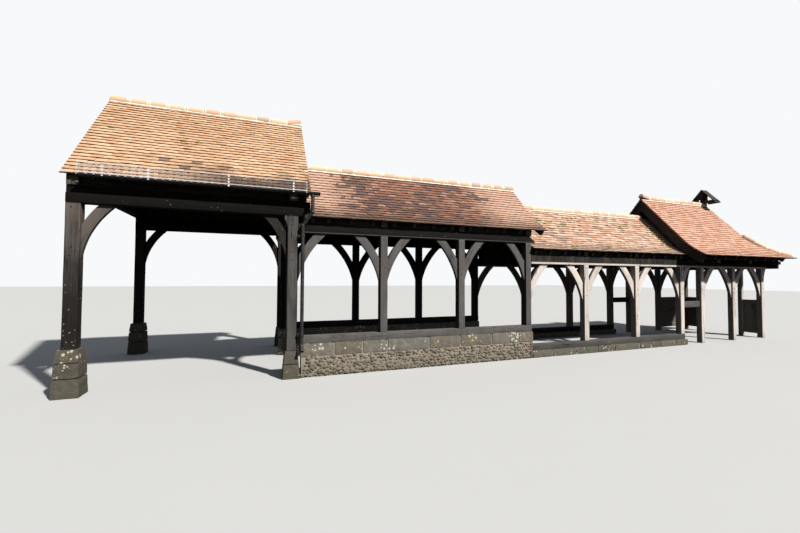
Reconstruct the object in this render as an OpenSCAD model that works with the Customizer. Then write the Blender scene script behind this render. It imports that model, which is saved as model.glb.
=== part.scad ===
// Timber-framed lychgate with the covered walk and the path bay that lead to it.
// Millimetres. X runs along the walk, Y runs back from the front row of posts, Z is up.
// The origin is under the middle of the front post between the path bay and the walk.

/* [Plan] */
// Path bay, distance between its left and right posts
path_bay_width = 3240; // [2600:10:3900]
// Path bay, distance between its front and back posts
path_bay_depth = 3490; // [2900:10:4200]
// Covered walk, distance between one post and the next
walk_bay = 1757; // [1500:1:2100]
// Covered walk and lychgate, distance between front and back posts
walk_depth = 2250; // [1900:10:2700]
// Bays in the upper length of the walk
upper_bays = 3; // [2:1:4]
// Bays in the lower length of the walk
lower_bays = 3; // [2:1:4]
// Short bay between the last walk post and the lychgate
link_bay = 880; // [760:10:1100]
// Lychgate, distance between one post and the next
gate_bay = 1450; // [1250:10:1700]

/* [Stone] */
// Height of the stone pads under the left posts of the path bay
left_pad_h = 720; // [400:10:900]
// Height of the stone pads under the right posts of the path bay
right_pad_h = 500; // [300:10:560]
// Side of a left stone pad at its top
left_pad_side = 300; // [260:10:380]
// Side of a right stone pad at its top
right_pad_side = 250; // [240:10:320]
// How far a stone pad widens towards its foot, on each side
pad_batter = 30; // [0:5:60]
// Thickness of the dwarf walls under the sills
plinth_w = 260; // [200:10:340]

/* [Posts and sills] */
// Side of the path bay posts
path_post = 190; // [150:5:220]
// Side of the walk posts
walk_post = 160; // [130:5:180]
// Side of the lychgate posts
gate_post = 150; // [120:5:180]
// Side of the door posts at the street end of the lychgate
door_post = 120; // [90:5:140]
// Chamfer along the edges of the posts
post_chamfer = 14; // [4:1:24]
// Depth of the sills
sill_d = 140; // [110:5:170]
// Height of the top of the upper walk sills
upper_sill_top = 750; // [600:10:850]
// Height of the top of the lower walk sills
lower_sill_top = 300; // [220:10:400]

/* [Plates and beams] */
// Underside of the path bay plates
path_plate_z = 2950; // [2800:10:3200]
// Underside of the upper walk plates
upper_plate_z = 2650; // [2500:10:2780]
// Underside of the lower walk and lychgate plates
lower_plate_z = 2165; // [2050:5:2260]
// Depth of the path bay plates
path_plate_d = 270; // [230:5:300]
// Depth of the upper walk plates
upper_plate_d = 170; // [140:5:200]
// Depth of the lower walk plates
lower_plate_d = 230; // [200:5:260]
// How far the outer faces of the plates step back above their ledge
ledge_in = 20; // [10:2:30]
// Depth of the lychgate plates
gate_plate_d = 120; // [100:5:150]
// Depth of the tie beams
tie_d = 150; // [120:5:190]
// Width of the tie beams
tie_w = 130; // [100:5:160]
// Depth of the lychgate cross beams
gate_beam_d = 100; // [80:5:130]
// How far the lychgate cross beams reach beyond the posts
gate_beam_reach = 500; // [420:10:620]
// Depth of the eaves plates on the cross beams
eaves_plate_d = 90; // [70:5:120]
// Width of the eaves plates
eaves_plate_w = 90; // [70:5:120]

/* [Braces] */
// How far a brace of the walk reaches along the plate
brace_out = 545; // [400:5:550]
// How far a brace of the walk reaches down the post
brace_drop = 930; // [700:10:1050]
// Radius of the underside of a brace of the walk
brace_radius = 1750; // [1200:10:2600]
// How far a brace of the path bay reaches along the plate
path_brace_out = 450; // [400:5:600]
// How far a brace of the path bay reaches down the post
path_brace_drop = 890; // [800:10:1050]
// Radius of the underside of a brace of the path bay
path_brace_radius = 1400; // [1200:10:2600]
// Width of a brace across its curve
brace_w = 160; // [110:5:180]
// Thickness of a brace
brace_t = 80; // [60:5:100]

/* [Roofs] */
// Pitch of the path bay roof, in degrees
path_pitch = 45.5; // [40:0.5:50]
// Pitch of the walk roofs above the bell-cast, in degrees
walk_pitch = 47; // [42:1:52]
// Pitch of the upper walk roof at the eaves, in degrees
upper_foot_pitch = 37; // [30:1:40]
// Pitch of the lower walk roof at the eaves, in degrees
lower_foot_pitch = 28; // [24:1:36]
// Pitch of the lychgate roof above the bell-cast, in degrees
gate_pitch = 48; // [43:0.5:52]
// Pitch of the lychgate roof at the eaves, in degrees
gate_foot_pitch = 32; // [26:1:38]
// Overhang of the tiles beyond the plate on the path bay
path_eave = 92; // [60:2:160]
// Overhang of the tiles beyond the plate on the walk
walk_eave = 125; // [60:5:180]
// Overhang of the tiles beyond the eaves plate on the lychgate
gate_eave = 310; // [220:10:360]
// Depth of the rafters
rafter_d = 120; // [90:5:140]
// Width of the rafters
rafter_w = 75; // [55:5:100]
// Greatest distance between the rafters
rafter_gap = 460; // [380:10:600]
// Thickness of the tiles with their battens
tile_t = 80; // [60:5:100]
// Radius of the ridge tiles
ridge_r = 80; // [70:5:120]
// Thickness of the ridge boards
ridge_board_t = 30; // [20:2:50]
// How far a verge stands past the last post of the path bay and walk
verge = 310; // [220:10:420]

/* [Hidden] */
$fn = 48;
oak = "dimgray";
stone = "darkkhaki";
iron = "black";
galvanised = "lightgray";

// Places of the posts along the walk
path_x = -path_bay_width;
upper_xs = [for (i = [1:upper_bays]) i * walk_bay];
step_x = upper_bays * walk_bay;
lower_xs = [for (i = [1:lower_bays]) step_x + i * walk_bay];
walk_end_x = step_x + lower_bays * walk_bay;
gate_x = walk_end_x + link_bay;
gate_xs = [for (i = [0:2]) gate_x + i * gate_bay];
street_x = gate_x + 2 * gate_bay;
rows = [0, walk_depth];
path_rows = [0, path_bay_depth];
// How far the rafters are notched over their plates
seat = 20;
// How far the rafters stop short of the tiles at the eaves
rafter_tail = 60;
ridge_board_d = 170;
// How far the middle of the ridge tiles lies below the apex
ridge_drop = 20;
// The last ridge tile at an open end is turned up
ridge_end_l = 330;
ridge_end_rise = 70;

// A roof is [depth between rows, heel place, height of the tiles above the heel, pitch,
// eaves pitch, place of the bend, place of the eave], all measured on its front slope.
function roof(depth, heel, plate_top, pitch, foot, bend, eave) = [
    depth, heel, plate_top - seat + (rafter_d + tile_t) / cos(foot), pitch, foot,
    heel + bend, heel - eave];
function bend_z(r) = r[2] + (r[5] - r[1]) * tan(r[4]);
function eave_z(r) = r[2] + (r[6] - r[1]) * tan(r[4]);
function ridge_y(r) = r[0] / 2;
function apex_z(r) = bend_z(r) + (ridge_y(r) - r[5]) * tan(r[3]);
function bend_shift(r, d) = d * (1 / cos(r[3]) - 1 / cos(r[4])) / (tan(r[3]) - tan(r[4]));
function bend_point(r, d) =
    [r[5] + bend_shift(r, d), bend_z(r) + bend_shift(r, d) * tan(r[4]) - d / cos(r[4])];
// Line from the eave to the ridge at a depth below the tiles, straight where both pitches are one
function slope_line(r, d) = concat(
    [[r[6] + d * sin(r[4]), eave_z(r) - d * cos(r[4])]],
    r[3] == r[4] ? [] : [bend_point(r, d)],
    [[ridge_y(r), apex_z(r) - d / cos(r[3])]]);
function backward(points) = [for (i = [len(points) - 1:-1:0]) points[i]];
function layer(r, top, bottom) = concat(slope_line(r, top), backward(slope_line(r, bottom)));
function shorter(r, cut) = [r[0], r[1], r[2], r[3], r[4], r[5], r[6] + cut];
// Everything under a depth below both slopes
function under(r, d) = concat(
    [[r[6] + d * sin(r[4]), 0]], slope_line(r, d),
    [for (p = backward(slope_line(r, d))) if (p[0] < ridge_y(r)) [r[0] - p[0], p[1]]],
    [[r[0] - r[6] - d * sin(r[4]), 0]]);

path_plate_top = path_plate_z + path_plate_d;
upper_plate_top = upper_plate_z + upper_plate_d;
lower_plate_top = lower_plate_z + lower_plate_d;
gate_plate_top = lower_plate_z + gate_plate_d;
gate_beam_top = gate_plate_top + gate_beam_d;
// How far the cross beams stand past the eaves plates
beam_end = 80;
eaves_plate_y = eaves_plate_w + beam_end - gate_beam_reach;
eaves_plate_ys = [eaves_plate_y - eaves_plate_w, walk_depth - eaves_plate_y];
// Places of the bends in the roofs, from the outer faces of their plates
upper_bend = 430;
lower_bend = 280;
gate_bend = 90;
path_roof = roof(path_bay_depth, -path_post / 2, path_plate_top, path_pitch, path_pitch, 0, path_eave);
upper_roof = roof(walk_depth, -walk_post / 2, upper_plate_top, walk_pitch, upper_foot_pitch,
    upper_bend, walk_eave);
lower_roof = roof(walk_depth, -walk_post / 2, lower_plate_top, walk_pitch, lower_foot_pitch,
    lower_bend, walk_eave);
gate_roof = roof(walk_depth, eaves_plate_y - eaves_plate_w, gate_beam_top + eaves_plate_d,
    gate_pitch, gate_foot_pitch, gate_bend, gate_eave);

// Ends of the roofs along the walk
board_t = 25;
gable_back = 720;
street_reach = 440;
verge_out = 50;
path_left_x = path_x - path_post / 2 - verge_out;
path_right_x = verge;
upper_left_x = tie_w / 2 + board_t;
upper_right_x = step_x + 1.5 * verge;
lower_left_x = step_x + tie_w / 2 + board_t;
lower_right_x = walk_end_x - 40;
gate_left_x = lower_right_x + verge_out;
gable_x = street_x - gable_back;
gate_right_x = gable_x + verge_out;
end_eave_x = street_x + street_reach;

// Skirt roof under the street gable: its bend and its surface seen from the front
skirt_pitch = 37;
skirt_foot_pitch = 24;
skirt_foot_run = 560;
skirt_bend_x = end_eave_x - skirt_foot_run;
skirt_bend_z = eave_z(gate_roof) + skirt_foot_run * tan(skirt_foot_pitch);
function skirt_z(x) = x > skirt_bend_x
    ? eave_z(gate_roof) + (end_eave_x - x) * tan(skirt_foot_pitch)
    : skirt_bend_z + (skirt_bend_x - x) * tan(skirt_pitch);
function skirt_shift(d) =
    d * (1 / cos(skirt_pitch) - 1 / cos(skirt_foot_pitch)) / (tan(skirt_pitch) - tan(skirt_foot_pitch));
function skirt_line(d) = [
    [end_eave_x - d * sin(skirt_foot_pitch), eave_z(gate_roof) - d * cos(skirt_foot_pitch)],
    [skirt_bend_x - skirt_shift(d),
        skirt_bend_z + skirt_shift(d) * tan(skirt_foot_pitch) - d / cos(skirt_foot_pitch)],
    [gable_x, skirt_z(gable_x) - d / cos(skirt_pitch)]];
// Plate across the street end, past the posts
end_plate_out = 240;
end_plate_x = street_x + end_plate_out;
end_plate_w = 90;
end_plate_top = skirt_z(end_plate_x + end_plate_w) - (rafter_d + tile_t) / cos(skirt_foot_pitch) + seat;
sky = 9000;

// Extrudes an outline of Y and Z along X
module along_x(x, length) {
    translate([x, 0, 0]) rotate([90, 0, 90]) linear_extrude(length) children();
}

// Extrudes an outline of X and Z along Y
module along_y(y, length) {
    translate([0, y + length, 0]) rotate([90, 0, 0]) linear_extrude(length) children();
}

module post(x, y, side, low, high) {
    c = post_chamfer;
    h = side / 2;
    translate([x, y, low]) linear_extrude(high - low)
        polygon([[-h + c, -h], [h - c, -h], [h, -h + c], [h, h - c],
            [h - c, h], [-h + c, h], [-h, h - c], [-h, -h + c]]);
}

module beam(x0, x1, y0, y1, z0, z1) {
    translate([x0, y0, z0]) cube([x1 - x0, y1 - y0, z1 - z0]);
}

// A plate whose outer face steps back above a ledge
module plate(x0, x1, y, width, low, high, ledge) {
    w = width / 2;
    front = y > 0 ? 0 : ledge_in;
    beam(x0, x1, y - w, y + w, low, low + ledge);
    beam(x0, x1, y - w + front, y + w - ledge_in + front, low + ledge, high);
}

// A stone block whose sides lean in as it rises
module pad(x, y, height, side) {
    t = side / 2;
    f = t + pad_batter;
    outline = [[-f, 0], [f, 0], [t, height], [-t, height]];
    intersection() {
        translate([x, 0, 0]) along_y(y - f, 2 * f) polygon(outline);
        translate([0, y, 0]) along_x(x - f, 2 * f) polygon(outline);
    }
}

// Outline of a curved brace in the corner under a plate, opening towards positive X
module brace_outline(out, drop, radius, width) {
    half = norm([out, drop]) / 2;
    way = [drop, -out] / (2 * half);
    centre = [out, -drop] / 2 + way * sqrt(radius * radius - half * half);
    intersection() {
        translate(centre) difference() {
            circle(r = radius + width, $fn = 180);
            circle(r = radius, $fn = 180);
        }
        translate([0, -drop]) square([out, drop]);
    }
}

// A brace from a post face up to a plate, along X, on the side given by 1 or -1
module brace(x, y, z, side, out = brace_out, drop = brace_drop, radius = brace_radius) {
    translate([x, 0, z]) mirror([side < 0 ? 1 : 0, 0, 0])
        along_y(y - brace_t / 2, brace_t) brace_outline(out, drop, radius, brace_w);
}

// One slope of a roof between two depths below the tiles; the back slope is its mirror
module slope(r, x0, x1, top, bottom, back = false) {
    translate([0, back ? r[0] : 0, 0]) mirror([0, back ? 1 : 0, 0])
        along_x(x0, x1 - x0) polygon(layer(r, top, bottom));
}

// Rafters on both slopes, notched over their plates and stopped at the ridge board
module rafters(r, xs, plate_y, plate_w, plate_top) {
    for (x = xs, back = [false, true])
        translate([0, back ? r[0] : 0, 0]) mirror([0, back ? 1 : 0, 0])
            along_x(x - rafter_w / 2, rafter_w) difference() {
                polygon(layer(shorter(r, rafter_tail), tile_t, tile_t + rafter_d));
                translate([plate_y, 0]) square([plate_w, plate_top]);
                translate([ridge_y(r) - ridge_board_t / 2, 0]) square([ridge_board_t, sky]);
            }
}

// Places of rafters spread between posts, none over a post
function spread(xs, bay) = let (n = ceil(bay / rafter_gap))
    [for (x = xs, i = [0:n - 1]) x + (i + 0.5) * bay / n];

module ridge_board_outline(r) {
    top = apex_z(r) - tile_t / cos(r[3]) - ridge_board_t / 2 * tan(r[3]);
    translate([ridge_y(r) - ridge_board_t / 2, top - ridge_board_d]) square([ridge_board_t, ridge_board_d]);
}

module tie(x, r, y0, y1, low) {
    intersection() {
        beam(x - tie_w / 2, x + tie_w / 2, y0, y1, low, low + tie_d);
        along_x(x - tie_w, 2 * tie_w) polygon(under(r, tile_t));
    }
}

module ridge_cap(r, x0, x1) {
    along_x(x0, x1 - x0) difference() {
        translate([ridge_y(r), apex_z(r) - ridge_drop]) circle(r = ridge_r);
        polygon(under(r, 0));
    }
}

// The tile turned up at the end of a ridge, way 1 to the right and -1 to the left
module ridge_end(r, x, way) {
    slant = atan(ridge_end_rise / ridge_end_l);
    difference() {
        translate([x - way * ridge_end_l, ridge_y(r), apex_z(r) - ridge_drop])
            rotate([0, way * (90 - slant), 0]) cylinder(r = ridge_r, h = ridge_end_l / cos(slant));
        along_x(x - 2 * ridge_end_l, 4 * ridge_end_l) polygon(under(r, 0));
    }
}

module path_bay_pads() {
    color(stone) for (y = path_rows) {
        pad(path_x, y, left_pad_h, left_pad_side);
        pad(0, y, right_pad_h, right_pad_side);
    }
}

// Hollow-curved swelling at the head of a post, on the side given by 1 or -1
jowl_out = 52;
jowl_lip = 70;
jowl_drop = 240;

module jowl(y, side) {
    rise = jowl_drop - jowl_lip;
    r = (jowl_out * jowl_out + rise * rise) / (2 * jowl_out);
    mirror([side < 0 ? 1 : 0, 0, 0])
        along_y(y - path_post / 2, path_post) translate([path_post / 2, path_plate_z - jowl_drop])
            difference() {
                square([jowl_out, jowl_drop]);
                translate([r, 0]) circle(r = r, $fn = 180);
            }
}

module path_bay_posts() {
    color(oak) {
        for (y = path_rows) {
            post(path_x, y, path_post, left_pad_h, path_plate_z);
            post(0, y, path_post, right_pad_h, path_plate_z);
            jowl(y, -1);
        }
        jowl(path_bay_depth, 1);
    }
}

// The right ends of the plates are cut to a curve
path_ledge = 150;
plate_end_r = 140;

module path_bay_plates() {
    color(oak) for (y = path_rows)
        difference() {
            plate(path_x - path_post / 2, path_right_x, y, path_post, path_plate_z, path_plate_top,
                path_ledge);
            along_y(y - path_post, 2 * path_post) translate([path_right_x, path_plate_z])
                circle(r = plate_end_r);
        }
}

module path_bay_tie_beams() {
    color(oak) for (x = [path_x, 0])
        tie(x, path_roof, -path_post / 2, path_bay_depth + path_post / 2, path_plate_top);
}

module path_bay_braces() {
    color(oak) for (y = path_rows, side = [-1, 1])
        brace(side < 0 ? -path_post / 2 : path_x + path_post / 2, y, path_plate_z, side,
            path_brace_out, path_brace_drop, path_brace_radius);
}

// How far the outermost rafters stand in from a verge
verge_in = 20;

module path_bay_rafters() {
    xs = concat(spread([path_x], path_bay_width), [path_right_x - verge_in - rafter_w / 2]);
    color(oak) rafters(path_roof, xs, -path_post / 2, path_post, path_plate_top);
}

module path_bay_front_tiles() {
    color("peru") slope(path_roof, path_left_x, path_right_x, 0, tile_t);
}

module path_bay_back_tiles() {
    color("peru") slope(path_roof, path_left_x, path_right_x, 0, tile_t, true);
}

// Boards that close a roof's end above a tie beam
module end_boards(r, x, low) {
    along_x(x, board_t) difference() {
        intersection() {
            polygon(under(r, tile_t));
            translate([r[1], low]) square([r[0] - 2 * r[1], sky]);
        }
        ridge_board_outline(r);
    }
}

module path_bay_gable_boards() {
    color(oak) {
        end_boards(path_roof, tie_w / 2, path_plate_top);
        end_boards(path_roof, path_x - tie_w / 2 - board_t, path_plate_top);
    }
}

// Gutter along the front of the path bay
gutter_r = 57;
gutter_wall = 5;
gutter_y = path_roof[6] - gutter_r;
gutter_z = eave_z(path_roof) - 20;
gutter_in = 250;
gutter_over = 150;
gutter_x = path_left_x + gutter_in;
gutter_end_x = path_right_x + gutter_over;
bracket_xs = [for (x = spread([path_x], path_bay_width)) x + rafter_w / 2];
bracket_t = 8;
bracket_arm = path_post / 2 + path_eave + 30;
pipe_r = 32;
collar_r = pipe_r + 8;
collar_h = 50;
pipe_x = path_post / 2 + 75;
pipe_y = -plinth_w / 2 - pipe_r - 10;
pipe_top_x = path_right_x + 20;
outlet_d = 70;
pipe_top_z = gutter_z - gutter_r - outlet_d / 2;

module gutter() {
    color(iron) {
        difference() {
            union() {
                along_x(gutter_x, gutter_end_x - gutter_x)
                    translate([gutter_y, gutter_z]) circle(r = gutter_r);
                translate([pipe_top_x, gutter_y, pipe_top_z]) cylinder(r = collar_r, h = outlet_d);
            }
            along_x(gutter_x + gutter_wall, gutter_end_x - gutter_x - 2 * gutter_wall)
                translate([gutter_y, gutter_z]) circle(r = gutter_r - gutter_wall);
            beam(gutter_x - 1, gutter_end_x + 1, gutter_y - 2 * gutter_r, gutter_y + 2 * gutter_r,
                gutter_z, gutter_z + 2 * gutter_r);
        }
        for (i = [0:2:len(bracket_xs) - 1]) along_x(bracket_xs[i], bracket_t) difference() {
            union() {
                translate([gutter_y, gutter_z]) circle(r = gutter_r + bracket_t);
                translate([gutter_y, gutter_z - gutter_r - bracket_t]) square([bracket_arm, 20]);
            }
            translate([gutter_y, gutter_z]) circle(r = gutter_r);
            translate([gutter_y - 2 * gutter_r, gutter_z - 15]) square([4 * gutter_r, 4 * gutter_r]);
        }
    }
}

// Downpipe: from the gutter by a swan neck to the foot of the post
module rod(a, b, r) {
    way = b - a;
    translate(a) rotate([0, acos(way[2] / norm(way)), atan2(way[1], way[0])])
        cylinder(r = r, h = norm(way));
}

// The pipe is held by two collars with straps to the post
module downpipe() {
    shoe = 90;
    strap_in = 30;
    neck_top = [pipe_top_x, gutter_y, path_plate_z + 60];
    neck_foot = [pipe_x, pipe_y, upper_plate_z + 110];
    shoe_top = [pipe_x, pipe_y, right_pad_h + shoe];
    color(iron) {
        rod([pipe_top_x, gutter_y, pipe_top_z], neck_top, pipe_r);
        rod(neck_top, neck_foot, pipe_r);
        rod(neck_foot, shoe_top, pipe_r);
        rod(shoe_top, shoe_top - [0, shoe, shoe], pipe_r);
        for (p = [neck_top, neck_foot, shoe_top]) translate(p) sphere(r = pipe_r + 6);
        for (z = [upper_plate_z - 2 * collar_h, upper_sill_top]) {
            translate([pipe_x, pipe_y, z]) cylinder(r = collar_r, h = collar_h);
            beam(path_post / 2, pipe_x, pipe_y + pipe_r - 5, strap_in - path_post / 2, z, z + collar_h);
        }
    }
}

// Wire guard along the gutter: uprights and two rails
guard_h = 170;
guard_w = 24;
guard_t = 5;
guard_end_w = 8;
guard_wire = 8;
guard_y = gutter_y - gutter_r;
guard_low = gutter_z - 30;
guard_top = guard_low + guard_h + 30;
guard_end_x = gutter_end_x - 240;
// Places of the straps, as parts of the guard's length
guard_straps = [0.095, 0.273, 0.617, 0.931];

module snow_guard() {
    length = guard_end_x - gutter_x;
    color(galvanised) {
        for (part = guard_straps) {
            x = gutter_x + part * length;
            beam(x - guard_w / 2, x + guard_w / 2, guard_y - guard_t, guard_y, guard_low, guard_top);
        }
        for (x = [gutter_x, guard_end_x - guard_end_w])
            beam(x, x + guard_end_w, guard_y - guard_t, guard_y, guard_low, guard_top);
        for (z = [guard_low + 38, guard_top - guard_wire])
            beam(gutter_x, guard_end_x, guard_y - guard_t - guard_wire / 2, guard_y - guard_t + 2,
                z - guard_wire / 2, z + guard_wire / 2);
    }
}

module walk_plinths() {
    w = plinth_w / 2;
    step = step_x + walk_post / 2;
    color(stone) for (y = rows) {
        beam(right_pad_side / 2 + pad_batter, step, y - w, y + w, 0, upper_sill_top - sill_d);
        beam(step, walk_end_x + w, y - w, y + w, 0, lower_sill_top - sill_d);
    }
    color(stone) pad(0, walk_depth, upper_sill_top - sill_d, right_pad_side);
}

module walk_sills() {
    w = walk_post / 2;
    step = step_x + w;
    color(oak) for (y = rows) {
        beam(y == 0 ? path_post / 2 : -w, step, y - w, y + w, upper_sill_top - sill_d, upper_sill_top);
        beam(step, walk_end_x + w, y - w, y + w, lower_sill_top - sill_d, lower_sill_top);
    }
}

module upper_walk_posts() {
    color(oak) {
        for (x = upper_xs, y = rows) post(x, y, walk_post, upper_sill_top, upper_plate_z);
        post(0, walk_depth, walk_post, upper_sill_top, upper_plate_z);
    }
}

module lower_walk_posts() {
    color(oak) for (x = lower_xs, y = rows) post(x, y, walk_post, lower_sill_top, lower_plate_z);
}

walk_ledge = 80;

module walk_plates() {
    w = walk_post / 2;
    color(oak) for (y = rows) {
        plate(y == 0 ? path_post / 2 : -w, step_x + tie_w / 2, y, walk_post, upper_plate_z,
            upper_plate_top, walk_ledge);
        plate(step_x + w, walk_end_x + w, y, walk_post, lower_plate_z, lower_plate_top, walk_ledge);
    }
}

module walk_tie_beams() {
    w = walk_post / 2;
    color(oak) {
        for (x = upper_xs) tie(x, upper_roof, -w, walk_depth + w, upper_plate_top);
        for (x = lower_xs) tie(x, lower_roof, -w, walk_depth + w, lower_plate_top);
    }
}

module upper_walk_braces() {
    w = walk_post / 2;
    color(oak) for (y = rows) {
        brace(y == 0 ? path_post / 2 : w, y, upper_plate_z, 1);
        for (x = upper_xs) brace(x - w, y, upper_plate_z, -1);
        for (i = [0:upper_bays - 2]) brace(upper_xs[i] + w, y, upper_plate_z, 1);
    }
}

module lower_walk_braces() {
    w = walk_post / 2;
    color(oak) for (y = rows) {
        brace(step_x + w, y, lower_plate_z, 1);
        for (x = lower_xs) brace(x - w, y, lower_plate_z, -1);
        for (i = [0:lower_bays - 2]) brace(lower_xs[i] + w, y, lower_plate_z, 1);
    }
}

module upper_walk_rafters() {
    first = path_right_x + verge_in + rafter_w / 2;
    places = spread(concat([0], [for (i = [0:upper_bays - 2]) upper_xs[i]]), walk_bay);
    last = upper_right_x - verge_in - rafter_w / 2;
    xs = concat([first], [for (x = places) if (x > first + rafter_w) x], [last]);
    color(oak) rafters(upper_roof, xs, -walk_post / 2, walk_post, upper_plate_top);
}

module lower_walk_rafters() {
    xs = spread(concat([step_x], [for (i = [0:lower_bays - 2]) lower_xs[i]]), walk_bay);
    color(oak) rafters(lower_roof, xs, -walk_post / 2, walk_post, lower_plate_top);
}

// The upper walk's front tiles stop short of the end of the path bay's front plate
module upper_walk_front_tiles() {
    clear = 5;
    color("indianred") difference() {
        slope(upper_roof, upper_left_x, upper_right_x, 0, tile_t);
        beam(0, path_right_x + clear, upper_roof[6] - clear, path_post / 2 + clear, 0, sky);
    }
}

module upper_walk_back_tiles() {
    color("indianred") slope(upper_roof, upper_left_x, upper_right_x, 0, tile_t, true);
}

module lower_walk_front_tiles() {
    color("salmon") slope(lower_roof, lower_left_x, lower_right_x, 0, tile_t);
}

module lower_walk_back_tiles() {
    color("salmon") slope(lower_roof, lower_left_x, lower_right_x, 0, tile_t, true);
}

module walk_gable_boards() {
    color(oak) end_boards(upper_roof, step_x + tie_w / 2, upper_plate_top);
}

// Low rails that close the short bay between the walk and the lychgate
rail_z = 1030;
rail_d = 170;
rail_t = 80;

module link_rails() {
    color(oak) for (y = rows)
        beam(walk_end_x + walk_post / 2, gate_x - gate_post / 2, y - rail_t / 2, y + rail_t / 2,
            rail_z, rail_z + rail_d);
}

module gate_posts() {
    color(oak) for (x = gate_xs, y = rows) post(x, y, gate_post, 0, lower_plate_z);
}

// Door posts and their braces under the street cross beam
door_y = 520;
door_brace_out = 340;
door_brace_drop = 700;
door_brace_w = 110;

module gate_door_posts() {
    color(oak) for (back = [0, 1]) translate([0, back * walk_depth, 0]) mirror([0, back, 0]) {
        post(street_x, door_y, door_post, 0, gate_plate_top);
        translate([street_x - brace_t / 2, door_y + door_post / 2, gate_plate_top])
            along_x(0, brace_t) brace_outline(door_brace_out, door_brace_drop, brace_radius, door_brace_w);
    }
}

module gate_plates() {
    w = gate_post / 2;
    color(oak) for (y = rows)
        beam(walk_end_x + walk_post / 2, end_plate_x, y - w, y + w, lower_plate_z, gate_plate_top);
}

// Bargeboards stand in from the edge of the verge
barge_in = 20;
barge_t = 30;
barge_d = 210;
first_beam_x = walk_end_x + (walk_post + tie_w) / 2;
beam_xs = concat([first_beam_x], gate_xs);

module gate_cross_beams() {
    color(oak) for (x = beam_xs)
        beam(x - tie_w / 2, x + tie_w / 2, -gate_beam_reach, walk_depth + gate_beam_reach,
            gate_plate_top, gate_beam_top);
}

// The side eaves plates stop short of the street end plate
plate_gap = 115;

module gate_eaves_plates() {
    color(oak) {
        for (y = eaves_plate_ys)
            beam(gate_left_x + barge_in + barge_t, end_plate_x - plate_gap, y, y + eaves_plate_w,
                gate_beam_top, gate_beam_top + eaves_plate_d);
        beam(end_plate_x, end_plate_x + end_plate_w, eaves_plate_y, walk_depth - eaves_plate_y,
            lower_plate_z, end_plate_top);
    }
}

// The braces across the short bay and under the street end plate are smaller
link_brace_out = 330;
short_brace_drop = 700;

module gate_braces() {
    w = gate_post / 2;
    color(oak) for (y = rows) {
        brace(walk_end_x + walk_post / 2, y, lower_plate_z, 1, link_brace_out, short_brace_drop);
        for (i = [0, 1]) brace(gate_xs[i] + w, y, lower_plate_z, 1);
        for (i = [1, 2]) brace(gate_xs[i] - w, y, lower_plate_z, -1);
        brace(street_x + w, y, lower_plate_z, 1, end_plate_x - street_x - w, short_brace_drop);
    }
}

// What the street skirt's tiles cover, as an outline of X and Z
function skirt_under(d) = [
    [0, 0], [0, sky], [gate_right_x, sky],
    [gate_right_x, skirt_z(gate_right_x) - d / cos(skirt_pitch)],
    skirt_line(d)[1], skirt_line(d)[0],
    [end_eave_x - d * sin(skirt_foot_pitch), 0]];

module gate_rafters() {
    first = gate_left_x + barge_in + barge_t + rafter_w / 2;
    xs = [for (x = [first:rafter_gap:end_plate_x - rafter_w]) x];
    color(oak) intersection() {
        rafters(gate_roof, xs, gate_roof[1], eaves_plate_w, gate_beam_top + eaves_plate_d);
        along_y(-sky, 2 * sky) polygon(skirt_under(tile_t));
    }
}

module gate_hip_rafters() {
    half = floor((ridge_y(gate_roof) - eaves_plate_y) / rafter_gap);
    ys = [for (i = [-half:half]) ridge_y(gate_roof) + i * rafter_gap];
    color(oak) intersection() {
        for (y = ys) along_y(y - rafter_w / 2, rafter_w) difference() {
            polygon(concat(skirt_line(tile_t), backward(skirt_line(tile_t + rafter_d))));
            translate([end_plate_x, 0]) square([end_plate_w, end_plate_top]);
            translate([end_eave_x - rafter_tail, 0]) square([sky, sky]);
        }
        along_x(0, 2 * sky) polygon(under(gate_roof, tile_t + rafter_d));
    }
}

module gate_front_tiles() {
    color("lightsalmon") intersection() {
        slope(gate_roof, gate_left_x, end_eave_x, 0, tile_t);
        along_y(-sky, 2 * sky) polygon(skirt_under(0));
    }
}

module gate_back_tiles() {
    color("lightsalmon") intersection() {
        slope(gate_roof, gate_left_x, end_eave_x, 0, tile_t, true);
        along_y(-sky, 2 * sky) polygon(skirt_under(0));
    }
}

module gate_end_tiles() {
    color("lightsalmon") intersection() {
        along_y(-sky, 2 * sky) polygon(concat(skirt_line(0), backward(skirt_line(tile_t))));
        along_x(0, 2 * sky) polygon(under(gate_roof, tile_t));
    }
}

module gate_gable_boards() {
    color(oak) difference() {
        union() {
            end_boards(gate_roof, gate_x - tie_w / 2 - board_t, gate_beam_top);
            end_boards(gate_roof, gable_x - board_t, skirt_z(gable_x) - tile_t - rafter_d);
        }
        for (y = eaves_plate_ys)
            beam(0, gate_x, y, y + eaves_plate_w, gate_beam_top, gate_beam_top + eaves_plate_d);
    }
}

// Boards under the open verge that faces the walk
module gate_bargeboards() {
    joint = 2;
    color(oak) difference() {
        for (back = [false, true])
            slope(shorter(gate_roof, 20), gate_left_x + barge_in, gate_left_x + barge_in + barge_t,
                tile_t, tile_t + barge_d, back);
        beam(0, gate_x, ridge_y(gate_roof) - joint / 2, ridge_y(gate_roof) + joint / 2, 0, sky);
    }
}

// Boarded panels under a rail, beside the street door and in the back row
panel_low = 120;
panel_top = 1180;
panel_rail_d = 110;

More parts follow.
